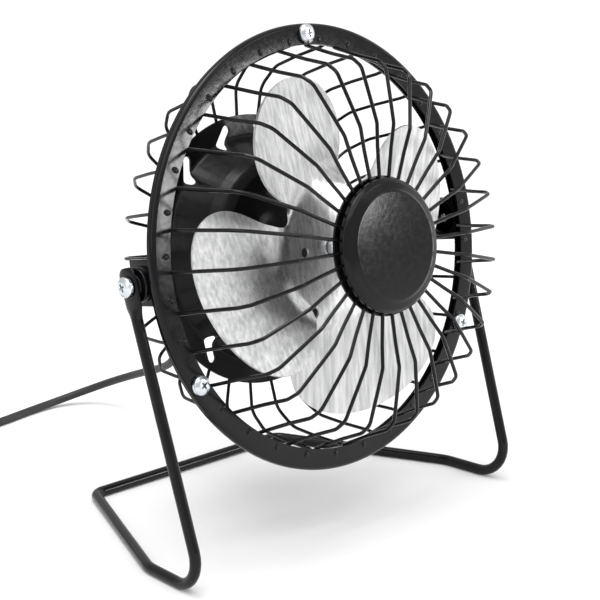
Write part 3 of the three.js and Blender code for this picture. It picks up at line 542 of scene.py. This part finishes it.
cord_drop = [
    (0.3, 46.8, 68.3),
    (1.5, 51.5, 64.2),
    (4, 56, 56.5),
    (7, 61.5, 48.5),
    (10, 66.5, 41.5),
    (13, 71.7, 35.5),
    (16, 78.5, 29.6),
    (19.5, 88.5, 24.6),
    (22.4, 101.4, 19.6),
    (24.3, 114, 14.6),
    (23.8, 124.9, 10),
    (20.6, 131.8, 6.7),
    (14, 137, 3.8),
    (6, 139.3, 2.1),
    (-6, 138.4, CORD_Z),
    (-21, 135.6, CORD_Z),
    (-38, 134.2, CORD_Z),
    (-52, 134.05, CORD_Z),
    (-64, 134.1, CORD_Z),
]
cord_tail = [
    (-96.8, 107.1, CORD_Z + 0.3),
    (-96, 101.1, CORD_Z + 1.4),
    (-95, 96.1, 3.8),
    (-94.7, 91.3, 4.2),
]

# %% The coil, a turn at a time
COIL_MIDDLE = Vector((-75, 116.1, 0))
TURN_STEP = 3.05
OUTER = 18
INNER = 15
SWAP = 35  # degrees that the cord takes to move over to its next place
DROP = 100  # degrees that the cord takes to roll off the coil and reach the floor
ROLL_SHARE = 0.45  # the part of that spent rolling over the edge
ANGLE_STEP = 8


def coil_place(column, row):
    return Vector((column, CORD_Z + row * TURN_STEP))


def coil_line():
    """Turns beside and on each other. Each swap comes a little earlier than the one below it."""
    places = [(OUTER, 0), (INNER, 0), (INNER, 1), (OUTER, 1), (OUTER, 2), (INNER, 2), (OUTER, 3)]
    swaps = [360 * k - (k - 1) * SWAP for k in range(1, len(places))]
    last_turn = 360 * len(places)
    points = []
    for angle in range(ANGLE_STEP, last_turn + DROP, ANGLE_STEP):
        done = sum(angle > swap + SWAP / 2 for swap in swaps)
        radius, height = coil_place(*places[done])
        if done < len(swaps) and angle > swaps[done] - SWAP / 2:
            share = (angle - swaps[done] + SWAP / 2) / SWAP
            share = eased(share)
            start = coil_place(*places[done])
            end = coil_place(*places[done + 1])
            radius, height = start.lerp(end, share)
            if start.x != end.x and start.y != end.y:
                hub = coil_place(OUTER, 2)
                radius = hub.x - TURN_STEP * cos(share * pi / 2)
                height = hub.y + TURN_STEP * sin(share * pi / 2)
        if angle > last_turn:
            share = (angle - last_turn) / DROP
            roll = min(share / ROLL_SHARE, 1) * pi / 2
            radius = OUTER + TURN_STEP * 1.03 * sin(roll)
            height = CORD_Z + 2 * TURN_STEP + TURN_STEP * cos(roll)
            fall = max(share - ROLL_SHARE, 0) / (1 - ROLL_SHARE)
            height -= 2 * TURN_STEP * eased(fall)
        turn = radians(90 + angle)
        points.append(COIL_MIDDLE + Vector((radius * cos(turn), radius * sin(turn), height)))
    return points


flow = smooth_line([FLOOR.inverted() @ cord_exit, *cord_drop, (-75, 134.1, CORD_Z)])
coil = coil_line()
tail = smooth_line([coil[-1], *cord_tail])
cord_line = flow + coil + tail[1:]

# %% The cord as a piece
cord = add_piece(
    "power_lead", None, swept(cord_line, CORD_RADIUS, 12), FLOOR, cord_vinyl,
    ["power_cord", "cord_coil", "cord_tail"], rides=False,
)
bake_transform(cord)

# %% [markdown]
# ## The tie and the plug
# A strap goes once round one side of the coil, with a small head where it was pulled tight. The
# plug has a soft moulded grip with finger ribs and a neck that thins towards the cord, and a folded
# steel shell round the tongue that carries its contacts. Both are built about the plug's own middle
# line and then put in place.

# %% Tie
TIE_WIDTH = 4
TIE_THICKNESS = 0.6


def tie():
    low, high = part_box("coil_tie")
    low, high = low / MM, high / MM
    inset = TIE_THICKNESS / 2
    corners = [
        (0, low.y + inset, (low.z + high.z) / 2),
        (0, low.y + inset, low.z + inset),
        (0, high.y - inset, low.z + inset),
        (0, high.y - inset, high.z - inset),
        (0, low.y + inset, high.z - inset),
        (0, low.y + inset, (low.z + high.z) / 2),
    ]
    line = rounded(corners, [1.6] * 4)
    strap = swept(line, [(TIE_WIDTH / 2, inset)] * len(line), 16)
    strap.transform(Matrix.Translation((COIL_MIDDLE.x, 0, 0)))
    head_middle = (COIL_MIDDLE.x, low.y + 1.1, (low.z + high.z) / 2 + 2)
    return joined([strap, block(*head_middle, 5, 1.9, 4, edge=0.5)])


coil_strap = add_piece(
    "coil_strap", "stand", tie(), FLOOR, black_plastic, ["coil_tie"], sharp=50
)

# %% Plug
PLUG = Vector((-94.7, 91, 4.2))
GRIP_WIDTH = 15.6
GRIP_HEIGHT = 8
GRIP_LENGTH = 17
SHELL_WIDTH = 12
SHELL_HEIGHT = 4.5
SHELL_LENGTH = 12.5


def plug_grip():
    body = block(0, -7.5 - GRIP_LENGTH / 2, 0, GRIP_WIDTH, GRIP_LENGTH, GRIP_HEIGHT, edge=1.6)
    ribs = [
        block(0, -12 - 2 * i, side * GRIP_HEIGHT / 2, 9, 0.9, 0.5, edge=0.2)
        for i in range(4) for side in (-1, 1)
    ]
    collars = [[1.95, 0], [2.3, -0.2]]
    for i in range(3):
        outer = 2.5 + 0.45 * i
        y = -0.9 - 2.2 * i
        collars += [[outer, y], [outer + 0.15, y - 1.1]]
        collars += [[outer - 0.35, y - 1.4], [outer - 0.3, y - 1.9]]
    neck = turned([(0, 0), *collars, (3.9, -8.2), (0, -8.2)], 32)
    return joined([body, neck, *ribs])


def plug_shell():
    middle = -24.8 - SHELL_LENGTH / 2
    shell = block(0, middle, 0, SHELL_WIDTH, SHELL_LENGTH, SHELL_HEIGHT, edge=0.5)
    inside = block(0, middle - 1, 0, SHELL_WIDTH - 0.7, SHELL_LENGTH, SHELL_HEIGHT - 0.7, edge=0.35)
    windows = [block(side * 2.9, middle - 0.5, 0, 2.4, 2.4, 8) for side in (-1, 1)]
    return cut_out(cut_out(shell, inside), joined(windows))


PLUG_PLACE = FLOOR @ Matrix.Translation(PLUG)
grip = add_piece(
    "usb_grip", "stand", plug_grip(), PLUG_PLACE, soft_black, ["plug_grip"]
)
shell = add_piece(
    "usb_shell", "stand", plug_shell(), PLUG_PLACE, zinc, ["plug_shell"]
)
tongue = add_piece(
    "usb_tongue", "stand", block(0, -31.4, 0.75, 10.6, 10, 1.6, edge=0.2), PLUG_PLACE,
    soft_black, [],
)
contacts = add_piece(
    "usb_contacts", "stand",
    joined([block(x, -31.6, -0.12, 1.1, 8, 0.2, edge=0.05) for x in (-3.5, -1.2, 1.2, 3.5)]),
    PLUG_PLACE, bronze, [],
)

# %% [markdown]
# ## The stand
# One rod, bent six times: two arms, two foot bends, two rails on the floor and a crossbar behind.
# Its ends are pressed flat into drilled eyes for the hinge screws. The rod is a swept round; towards
# each end the section gets thinner one way and wider the other, which is what the press does.

# %% Rod
ROD = 3.5
EYE_X = 72.15
EYE_THICKNESS = 1.7
EYE_WIDTH = 7.5
EYE_TOP = 5.5
EYE_CORNER = 2.6
HINGE_BORE = 1.7
FLAT_FROM = -10.5
FLAT_FULL = -5.5
hinge_y = HINGE.y / MM
hinge_z = HINGE.z / MM
rod_z = ROD / 2 * cos(pi / 10)
FOOT_X = 70.2
FOOT_REACH = 28.85  # the arms' corners, in front of the hinge
KINK_X = 68.5
KINK_REACH = 1.25  # where the rails turn inwards, in front of the hinge
REAR_X = 42
REAR_REACH = 59.55  # the crossbar, behind the hinge
FOOT_BEND = 9.7
KINK_BEND = 14
REAR_BEND = 5
arm_lean = atan2(FOOT_REACH, hinge_z - ROD / 2)
arm_up = Vector((0, sin(arm_lean), cos(arm_lean)))


def rod_section(above):
    """Half sizes of the rod's section, across and deep, at a height above the hinge."""
    flat = eased(min(max((above - FLAT_FROM) / (FLAT_FULL - FLAT_FROM), 0), 1))
    thin = ROD / 2 + flat * (EYE_THICKNESS - ROD) / 2
    wide = ROD / 2 + flat * (EYE_WIDTH - ROD) / 2
    short = max(above - (EYE_TOP - EYE_CORNER), 0)
    return thin, wide - EYE_CORNER + sqrt(max(EYE_CORNER**2 - short**2, 0.02))


def stand_rod():
    heights = [5.5, 5.4, 5.1, 4.6, 4, 3.4, 2.9, 0, -3, -5.5, -6.5, -7.5, -8.5, -9.5, -10.5]
    ends = []
    for side in (-1, 1):
        middle = Vector((side * EYE_X, hinge_y, hinge_z))
        ends.append([middle + arm_up * above for above in heights])
    corners = []
    for side in (-1, 1):
        side_corners = [
            Vector((side * FOOT_X, hinge_y - FOOT_REACH, rod_z)),
            Vector((side * KINK_X, hinge_y - KINK_REACH, rod_z)),
            Vector((side * REAR_X, hinge_y + REAR_REACH, rod_z)),
        ]
        corners.append(side_corners)
    route = [ends[0][-1], *corners[0], *reversed(corners[1]), ends[1][-1]]
    bends = [FOOT_BEND, KINK_BEND, REAR_BEND]
    bent = rounded(route, bends + bends[::-1], steps=10)
    line = ends[0][:-1] + bent + list(reversed(ends[1]))[1:]
    sizes = [rod_section(above) for above in heights[:-1]]
    sizes = sizes + [(ROD / 2, ROD / 2)] * len(bent) + list(reversed(sizes))
    rod = swept(line, sizes, 24)
    hinge_line = Matrix.Translation((0, hinge_y, hinge_z)) @ Matrix.Rotation(radians(90), 4, "Z")
    return cut_out(rod, moved(drill(HINGE_BORE, -90, 90), hinge_line))


add_piece(
    "bent_rod", "stand", stand_rod(), FLOOR, black_enamel, ["stand_rod"], sharp=50
)

# %% [markdown]
# ## The guards
# Each guard is a pressed ring with wires welded to it like spokes: 32 in front and 30 behind. The
# front ring is flat with a lip turned back round its edge, and has a small raised mark beside each
# weld. A guard's wires all follow one bent line, repeated round the shaft.

# %% Front guard
SHEET = 0.8
RING_OUTER = 70
RING_INNER = 63.3
FACE_Y = -9.1
FRONT_WIRES = 32
FRONT_PHASE = 9
FRONT_WIRE = 1.2
HUB_RING_Y = -34.05
MARK_CIRCLE = 65.1
MARK_AFTER_WIRE = 0.62  # as a share of the step between wires


def bent_wires(corners, radii, size, count, phase):
    line = rounded([(radius, y, 0) for radius, y in corners], radii, steps=4)
    return [
        moved(swept(line, size / 2, 10, across=Vector((0, 0, 1))), at_angle(phase + i * 360 / count))
        for i in range(count)
    ]


def front_guard():
    face = FACE_Y + SHEET / 2
    edge = RING_OUTER - SHEET / 2
    line = rounded([(RING_INNER, face), (edge, face), (edge, FACE_Y + 2.1)], [1.1], steps=8)
    ring = turned(sheet_profile(line, SHEET), 192, closed=True)
    hub_line = [Vector((16.6, HUB_RING_Y + SHEET / 2, 0)), Vector((21.4, HUB_RING_Y + SHEET / 2, 0))]
    hub = turned(sheet_profile(hub_line, SHEET), 96, closed=True)
    wires = bent_wires(
        [(64.9, -7.95), (63.2, -8), (59.5, -19.4), (57.2, -28), (54.6, -31.2), (45, -33.7),
         (37.3, -35.6), (30, -34.9), (18.6, -34.4)],
        [0.5, 30, 4, 4, 8, 5, 8], FRONT_WIRE, FRONT_WIRES, FRONT_PHASE,
    )
    marks = []
    long_mark = Matrix.Diagonal((1.25, 1, 0.85, 1))
    place = Matrix.Translation((MARK_CIRCLE, FACE_Y + 0.02, 0)) @ long_mark
    for i in range(FRONT_WIRES):
        mark = turned([(1.15, 0), (0.95, -0.24), (0.6, -0.42), (0, -0.48)], 20)
        angle = FRONT_PHASE + (i + MARK_AFTER_WIRE) * 360 / FRONT_WIRES
        marks.append(moved(mark, at_angle(angle) @ place))
    return joined([ring, hub, *wires, *marks])


add_piece("front_grille", "head", front_guard(), HEAD, black_enamel, ["front_guard"])

# %% Rear guard
REAR_WIRES = 30
REAR_WIRE = 1.1
REAR_PHASE = 6
REAR_RING_Y = -6.3


def rear_guard():
    line = [Vector((RING_INNER + 0.3, REAR_RING_Y, 0)), Vector((RING_OUTER - 0.45, REAR_RING_Y, 0))]
    ring = turned(sheet_profile(line, SHEET), 192, closed=True)
    wires = bent_wires(
        [(64.5, -6.15), (63.6, -3.4), (61.8, 7.2), (59.4, 17.4), (53.4, 24.1), (42.6, 25.55)],
        [0.6, 40, 8, 7], REAR_WIRE, REAR_WIRES, REAR_PHASE,
    )
    return joined([ring, *wires])


add_piece("rear_grille", "head", rear_guard(), HEAD, black_enamel, ["rear_guard"])

# %% [markdown]
# ## The cap
# The black cap in the middle of the front guard is a shallow pressed dish with a raised disc and a
# rolled edge. It is a sheet profile spun round, with three tongues that fold behind the hub ring.

# %% Cap
def hub_cap():
    line = rounded(
        [(0.001, -38.4), (16.4, -38.4), (17.3, -37.9), (19.2, -37.4), (20.2, -36.6), (20.2, -35.5)],
        [0.9, 0.6, 1.0, 0.6], steps=5,
    )
    dish = turned(sheet_profile(line, SHEET), 128)
    tongues = []
    for angle in (30, 150, 270):
        upright = block(15.6, -35.35, 0, SHEET, 5.7, 3, edge=0.15)
        fold = block(16.8, -32.65, 0, 3.2, 0.6, 3, edge=0.15)
        tongues.append(moved(joined([upright, fold]), at_angle(angle + FRONT_PHASE)))
    return joined([dish, *tongues])


add_piece("cap_disc", "head", hub_cap(), HEAD, black_enamel, ["hub_cap"])

# %% [markdown]
# ## Screws
# Pan-head screws with a cross recess hold the rings together and carry the hinge. The recess is cut
# with two crossed tapering blades, because a painted-on cross would show no depth.

# %% Pan-head screws
def pan_screw(head_radius, head_height, shank_radius, shank_length):
    head_line = rounded(
        [(0.001, -head_height), (head_radius * 0.62, -head_height), (head_radius, -head_height * 0.55),
         (head_radius, 0)],
        [head_radius * 0.5, head_radius * 0.22], steps=5,
    )
    profile = [(p.x, p.y) for p in head_line]
    profile[0] = (0, -head_height)
    screw = turned([*profile, (shank_radius, 0), (shank_radius, shank_length), (0, shank_length)], 40)
    wide = head_radius * 1.15
    thin = head_radius * 0.26
    depth = head_height * 0.72
    blades = []
    for turn in (0, 90):
        blade = block(0, -head_height, 0, wide, depth * 2, thin)
        for vert in blade.verts:
            if vert.co.y > -head_height:
                vert.co.x *= 0.45
                vert.co.z *= 0.7
        blades.append(moved(blade, at_angle(turn)))
    return cut_out(cut_out(screw, blades[0]), blades[1])


RING_SCREW_ANGLES = (88.5, 208.5, 328.5)
RING_SCREW_CIRCLE = 66.7
HOUSING_SCREW_ANGLES = (90, 210, 330)
HOUSING_SCREW_CIRCLE = 17.4
CAN_SCREW_ANGLES = (0, 180)
CAN_SCREW_CIRCLE = 8
PLATE_SEAT = 7.3


def place_screw(name, node, sizes, place):
    add_piece(name, "head", pan_screw(*sizes), HEAD @ place, zinc, [node], sharp=40)


for number, angle in enumerate(RING_SCREW_ANGLES, 1):
    seat = at_angle(angle) @ Matrix.Translation((RING_SCREW_CIRCLE, FACE_Y - 0.3, 0))
    place_screw(f"grille_screw_{number}", f"ring_screw_{number}", (3, 1.9, 1.35, 4.6),
                seat @ at_angle(-3 * angle))
for number, angle in enumerate(HOUSING_SCREW_ANGLES, 1):
    seat = at_angle(angle) @ Matrix.Translation((HOUSING_SCREW_CIRCLE, PLATE_SEAT, 0))
    place_screw(f"housing_screw_{number}", f"cover_screw_{number}", (2.4, 1.5, 1.1, 8),
                seat @ at_angle(17 * number))
for number, angle in enumerate(CAN_SCREW_ANGLES, 1):
    seat = at_angle(angle) @ Matrix.Translation((CAN_SCREW_CIRCLE, PLATE_SEAT, 0))
    place_screw(f"can_screw_{number}", f"motor_screw_{number}", (1.9, 1.2, 0.8, 3.4),
                seat @ at_angle(31 * number))

# %% [markdown]
# ## The hinge
# On each side a screw goes through the rod's eye and a washer into a short barrel. The barrel is on
# a bracket plate that is welded to the rear ring. The left side is built lying along -X, and turned
# half round for the right.

# %% Hinge pieces
KNUCKLE_FROM = 65
KNUCKLE_TO = 70.3
KNUCKLE_RADIUS = 5.3
BRACKET_THICKNESS = 1.6
BRACKET_MIDDLE = 0.3
BRACKET_DEPTH = 11.8
BRACKET_HEIGHT = 14
HINGE_SCREW_SEAT = 73.3
ALONG_X = Matrix.Rotation(radians(-90), 4, "Z")


def knuckle():
    line = rounded(
        [(HINGE_BORE, -KNUCKLE_TO), (KNUCKLE_RADIUS, -KNUCKLE_TO),
         (KNUCKLE_RADIUS, -KNUCKLE_FROM), (HINGE_BORE, -KNUCKLE_FROM)],
        [0.5, 0.3], steps=4,
    )
    barrel = moved(turned([(p.x, p.y) for p in line], 64, closed=True), ALONG_X)
    plate = block(-KNUCKLE_FROM - BRACKET_THICKNESS / 2, BRACKET_MIDDLE, 0,
                  BRACKET_THICKNESS, BRACKET_DEPTH, BRACKET_HEIGHT, edge=0.5)
    screw_hole = drill(HINGE_BORE, -KNUCKLE_FROM - 3, -KNUCKLE_FROM + 1)
    return joined([barrel, cut_out(plate, moved(screw_hole, ALONG_X))])


for side, turn in (("left", 0), ("right", 180)):
    add_piece(
        f"{side}_hinge_barrel", "head", knuckle(), HEAD @ at_angle(turn), black_enamel,
        [f"{side}_pivot_knuckle"],
    )
    seat = at_angle(turn) @ ALONG_X @ Matrix.Translation((0, -HINGE_SCREW_SEAT, 0))
    place_screw(f"{side}_hinge_screw", f"{side}_pivot_screw", (3.1, 1.9, 1.4, 7.7),
                seat @ at_angle(25))

# %% [markdown]
# ## The wheel
# Four round lobes are pressed from one sheet of aluminium. The middle is flat, and past it each lobe
# turns to its pitch, so the sheet is one surface: at every place along a blade and across it, the
# height follows the pitch, faded in from the hub. The sheet then gets its thickness and three holes
# that save weight.

# %% Wheel
BLADES = 4
WHEEL = HEAD @ Matrix.Translation((0, -11.2, 0)) @ at_angle(14.4)
LOBE_MIDDLE = 35.7
LOBE_REACH = 18.9
LOBE_HALF_WIDTH = 25.9
SLIT_HALF_WIDTH = 2.57
SLIT_END = 22.6
PITCH = radians(-17.3)
HUB_FLAT = 20.1
FADE_WIDTH = 6.9  # past the hub, until a lobe has its full pitch
HOLE_CIRCLE = 12
HOLE_RADIUS = 1.6
SHAFT_HOLE = 1.3
slit_middle = SLIT_END / sqrt(2)
slit_start = (SLIT_END - SLIT_HALF_WIDTH) / sqrt(2)
slit_straight = slit_middle + SLIT_HALF_WIDTH / sqrt(2)
touch = LOBE_REACH / hypot(LOBE_REACH, LOBE_HALF_WIDTH)
lobe_start = LOBE_MIDDLE - LOBE_REACH * touch


def blade_half_width(along):
    if along <= slit_start:
        return along
    if along <= slit_straight:
        return slit_middle - sqrt(max(SLIT_HALF_WIDTH**2 - (along - slit_middle) ** 2, 0))
    if along <= lobe_start:
        return along - SLIT_HALF_WIDTH * sqrt(2)
    return LOBE_HALF_WIDTH * sqrt(max(1 - ((along - LOBE_MIDDLE) / LOBE_REACH) ** 2, 0))


def fan_wheel():
    stations = [slit_start * i / 8 for i in range(8)]
    stations += [slit_start + (slit_straight - slit_start) * i / 8 for i in range(8)]
    stations += [slit_straight + (lobe_start - slit_straight) * i / 4 for i in range(4)]
    first = acos(-touch)
    stations += [LOBE_MIDDLE + LOBE_REACH * cos(first * (1 - i / 28)) for i in range(29)]
    columns = 28
    blades = []
    for blade in range(BLADES):
        shape = bmesh.new()
        rows = []
        for along in stations:
            row = []
            for column in range(columns + 1):
                across = blade_half_width(along) * (2 * column / columns - 1)
                fade = min(max((hypot(along, across) - HUB_FLAT) / FADE_WIDTH, 0), 1)
                lift = across * tan(PITCH) * eased(fade)
                row.append(shape.verts.new((along, lift, across)))
            rows.append(row)
        for near, far in zip(rows, rows[1:]):
            for i in range(columns):
                shape.faces.new((near[i], near[i + 1], far[i + 1], far[i]))
        bmesh.ops.remove_doubles(shape, verts=shape.verts, dist=1e-4)
        blades.append(moved(shape, at_angle(blade * 360 / BLADES)))
    sheet = joined(blades)
    bmesh.ops.remove_doubles(sheet, verts=sheet.verts, dist=1e-3)
    bmesh.ops.recalc_face_normals(sheet, faces=sheet.faces)
    bmesh.ops.solidify(sheet, geom=sheet.faces, thickness=SHEET)
    hub_heights = [v.co.y for v in sheet.verts if hypot(v.co.x, v.co.z) < 15]
    sheet.transform(Matrix.Translation((0, -sum(hub_heights) / len(hub_heights), 0)))
    holes = [
        moved(drill(HOLE_RADIUS, -2, 2), at_angle(angle) @ Matrix.Translation((HOLE_CIRCLE, 0, 0)))
        for angle in (45, 165, 285)
    ]
    return cut_out(sheet, joined([*holes, drill(SHAFT_HOLE, -2, 2)]))


add_piece("pressed_wheel", "wheel", fan_wheel(), WHEEL, aluminium, ["fan_wheel"])

# %% Nut and boss
def end_nut():
    line = rounded([(0.001, -4.4), (1.7, -4.3), (2.8, -2.8), (2.8, -0.7), (1.3, -0.7)],
                   [0.6, 0.8, 0.2], steps=4)
    profile = [(p.x, p.y) for p in line]
    profile[0] = (0, -4.4)
    return turned([*profile, (1.3, -3.2), (0, -3.2)], 48)


def boss():
    line = rounded([(1.3, 0.7), (9, 0.7), (9, 2.2), (5, 3.4), (4.4, 14), (1.3, 14)],
                   [0.2, 0.4, 1.2, 0.4], steps=4)
    return turned([(p.x, p.y) for p in line], 64, closed=True)


add_piece("end_nut", "wheel", end_nut(), WHEEL, zinc, ["cap_nut"])
add_piece("boss", "wheel", boss(), WHEEL, black_plastic, ["wheel_boss"])

# %% [markdown]
# ## The plate behind the wheel
# A pressed dish with a flat rim and a bulge that carries the motor. Slanted slots near the rim let
# air through. It is a sheet profile with generous bends, and the slots and holes are cut out of it.

# %% Plate
VENT_PAIRS = ((90, 13), (90, 41), (270, 42))  # the top or bottom, and how far to each side of it
VENT_CIRCLE = 38.3
VENT_LENGTH = 9
VENT_WIDTH = 3
VENT_SLANT = 50
VENT_CUT = (16.8, 27.8)
MOTOR_BOSS_HOLE = 4.2


def slot_tools():
    """The three parts of a slot with round ends along X: its middle and both ends."""
    half = VENT_WIDTH / 2
    reach = VENT_LENGTH / 2 - half
    start, end = VENT_CUT
    bar = block(0, (start + end) / 2, 0, 2 * reach, end - start, VENT_WIDTH)
    ends = [
        moved(drill(half, start, end, 24), Matrix.Translation((x, 0, 0))) for x in (-reach, reach)
    ]
    return [bar, *ends]


def rear_plate():
    line = rounded(
        [(0.001, 8), (26.8, 8), (29.6, 10), (31.4, 13.1), (36.7, 24.2), (44, 24.2)],
        [2.0, 1.6, 3.0, 1.8], steps=5,
    )
    plate = turned(sheet_profile(line, SHEET), 144)
    tools = []
    for middle, apart in VENT_PAIRS:
        for side in (-1, 1):
            vent = at_angle(middle + side * apart) @ Matrix.Translation((VENT_CIRCLE, 0, 0))
            vent = vent @ at_angle(-side * VENT_SLANT)
            tools += [moved(part, vent) for part in slot_tools()]
    tools.append(drill(MOTOR_BOSS_HOLE, 0, 12, 48))
    screws = [(angle, CAN_SCREW_CIRCLE, 1.1) for angle in CAN_SCREW_ANGLES]
    screws += [(angle, HOUSING_SCREW_CIRCLE, 1.4) for angle in HOUSING_SCREW_ANGLES]
    for angle, circle, radius in screws:
        hole = drill(radius, 5, 11, 24)
        tools.append(moved(hole, at_angle(angle) @ Matrix.Translation((circle, 0, 0))))
    for tool in tools:
        plate = cut_out(plate, tool)
    return plate


add_piece("back_plate", "head", rear_plate(), HEAD, plate_enamel, ["rear_plate"])

# %% [markdown]
# ## The housing, switch and sleeve
# A moulded cup covers the motor. It has a rounded back edge, a shallow ring that stiffens its face,
# and openings for the switch and for the cord's sleeve, whose ribs let it bend without kinking.

# %% Housing
def housing():
    outer = rounded(
        [(0.001, 44), (16.9, 44), (20.2, 43), (20.3, 39), (21, 9), (19.4, 9), (18.6, 39.6),
         (16.2, 42.4), (0.001, 42.4)],
        [2.0, 2.0, 4.0, 0.3, 0.3, 1.0, 1.4], steps=5,
    )
    profile = [(p.x, p.y) for p in outer]
    profile[0] = (0, 44)
    profile[-1] = (0, 42.4)
    cup = turned(profile, 128)
    groove = turned([(15.2, 43.7), (15.7, 43.7), (15.7, 46), (15.2, 46)], 96, closed=True)
    cup = cut_out(cup, groove)
    cup = cut_out(cup, block(0, 44, 6, 9.8, 6, 14.6))
    cup = cut_out(cup, moved(drill(2.5, 40, 48), Matrix.Translation((0, 0, SLEEVE_Z))))
    pillars = []
    for angle in HOUSING_SCREW_ANGLES:
        pillar = turned([(1.4, 9), (2.6, 9), (2.6, 25), (1.4, 25)], 32, closed=True)
        place = at_angle(angle) @ Matrix.Translation((HOUSING_SCREW_CIRCLE, 0, 0))
        pillars.append(moved(pillar, place))
    return joined([cup, *pillars])


add_piece(
    "motor_housing", "head", housing(), HEAD, black_plastic, ["rear_cover"]
)

# %% Sleeve
def sleeve():
    profile = [(0, 40.8), (3.6, 40.8), (3.6, 42.1), (2.2, 42.1), (2.2, 44.3), (3.5, 44.3)]
    profile += [(3.4, 45.6), (2.8, 46.4)]
    for i in range(4):
        y = 46.9 + 2 * i
        outer = 2.95 - 0.17 * i
        profile += [(outer, y), (outer - 0.04, y + 1)]
        profile += [(outer - 0.45, y + 1.2), (outer - 0.45, y + 1.8)]
    profile += [(2.1, 54.8), (1.9, 55), (0, 55)]
    return turned(profile, 40)


add_piece(
    "cord_sleeve", "head", sleeve(), HEAD @ Matrix.Translation((0, 0, SLEEVE_Z)), soft_black,
    ["cord_gland"],
)

# %% [markdown]
# ## Pieces that keep their shape
# Some nodes are already right and only lack the small rounding that catches light on every real
# edge. They are copied, cleaned of flat triangle seams, and given a bevel. The moving rocker stays
# with its own body.

# %% Bevelled copies
def with_soft_edges(name, node, body, finish, width):
    shape = bmesh.new()
    shape.from_mesh(frame["nodes"][node].data)
    bmesh.ops.remove_doubles(shape, verts=shape.verts, dist=1e-6)
    bmesh.ops.dissolve_limit(
        shape, angle_limit=radians(1), verts=shape.verts, edges=shape.edges
    )
    crisp = [e for e in shape.edges if e.is_manifold and e.calc_face_angle(0) > radians(35)]
    bmesh.ops.bevel(
        shape, geom=crisp, offset=width * MM, segments=2, affect="EDGES", profile=0.5,
        clamp_overlap=True,
    )
    bare = bmesh.new()
    verts = [bare.verts.new(v.co) for v in shape.verts]
    for face in shape.faces:
        bare.faces.new([verts[v.index] for v in face.verts])
    shape.free()
    bmesh.ops.scale(bare, vec=(1 / MM,) * 3, verts=bare.verts)
    return add_piece(name, body, bare, FLOOR, finish, [node])


with_soft_edges("switch_frame", "switch_body", "head", black_plastic, 0.25)
with_soft_edges("rocker", "switch_rocker", "rocker", soft_black, 0.2)

# %% [markdown]
# ## Finishes for the nodes that stay
# The motor's inside pieces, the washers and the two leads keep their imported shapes, so they only
# need the right material in their slots.

# %% Finishes for the rest
KEPT = {
    "motor_can": zinc,
    "motor_shaft": steel,
    "motor_end_cap": black_nylon,
    "front_bush": bronze,
    "rear_bush": bronze,
    "left_magnet": ferrite,
    "right_magnet": ferrite,
    "armature_core": laminations,
    "winding_1": copper,
    "winding_2": copper,
    "winding_3": copper,
    "commutator": copper,
    "left_brush": bronze,
    "right_brush": bronze,
    "left_friction_washer": black_nylon,
    "right_friction_washer": black_nylon,
    "red_lead": red_vinyl,
    "black_lead": soft_black,
}
for name, finish in KEPT.items():
    mesh = frame["nodes"][name].data
    mesh.materials.clear()
    mesh.materials.append(finish)
bare_nodes = [
    name for name, node in frame["nodes"].items() if not node.hide_render and name not in KEPT
]
print("kept nodes:", len(KEPT), "without a finish:", bare_nodes)

# %% [markdown]
# ## Floor and light
# A pale floor that runs far behind the fan serves as the backdrop too. A soft light hangs overhead.
# Two stand to the right of the front: part of the flat ring mirrors the low one, and the left lobe of
# the wheel mirrors the high one. One more stands on each side. A pale world keeps the shadows soft.

# %% Floor
floor_mesh = bpy.data.meshes.new("floor")
floor_size = 6.0
turns_round = ((-1, -1), (1, -1), (1, 1), (-1, 1))
floor_corners = [(x * floor_size, y * floor_size, 0) for x, y in turns_round]
floor_mesh.from_pydata(floor_corners, [], [(0, 1, 2, 3)])
floor = bpy.data.objects.new("floor", floor_mesh)
bpy.context.scene.collection.objects.link(floor)
floor_finish = bpy.data.materials.new("floor")
floor_finish.use_nodes = True
floor_shader = floor_finish.node_tree.nodes["Principled BSDF"]
floor_shader.inputs["Base Color"].default_value = (0.93, 0.93, 0.93, 1)
floor_shader.inputs["Roughness"].default_value = 0.9
floor_shader.inputs["Specular IOR Level"].default_value = 0.0
floor_mesh.materials.append(floor_finish)


# %% Lights
def soft_light(name, place, target, size, power):
    data = bpy.data.lights.new(name, "AREA")
    data.shape = "RECTANGLE"
    data.size, data.size_y = size
    data.energy = power
    light = bpy.data.objects.new(name, data)
    light.location = place
    aim = Vector(target) - Vector(place)
    light.rotation_euler = aim.to_track_quat("-Z", "Y").to_euler()
    bpy.context.scene.collection.objects.link(light)
    return light


middle = (0, 0, 0.08)
soft_light("overhead", (-0.15, 0.05, 1.2), middle, (0.42, 0.42), 3)
soft_light("low_front", (0.69, -0.94, 0.262), middle, (0.26, 0.14), 2.6)
soft_light("high_front", (0.62, -0.82, 0.80), middle, (0.4, 0.3), 0.8)
soft_light("right_side", (1.2, -0.25, 0.3), middle, (0.7, 0.8), 1.2)
soft_light("left_fill", (-1.2, -0.2, 0.7), middle, (0.4, 0.8), 1.5)

sky_data = bpy.data.lights.new("sky", "SUN")
sky_data.energy = 1.3
sky_data.angle = radians(60)
sky = bpy.data.objects.new("sky", sky_data)
sky.rotation_euler = (radians(12), radians(-14), 0)
bpy.context.scene.collection.objects.link(sky)

world = bpy.data.worlds.new("world")
world.use_nodes = True
world.node_tree.nodes["Background"].inputs["Color"].default_value = (1, 1, 1, 1)
world.node_tree.nodes["Background"].inputs["Strength"].default_value = 0.72
bpy.context.scene.world = world
bpy.context.scene.view_settings.view_transform = "Standard"
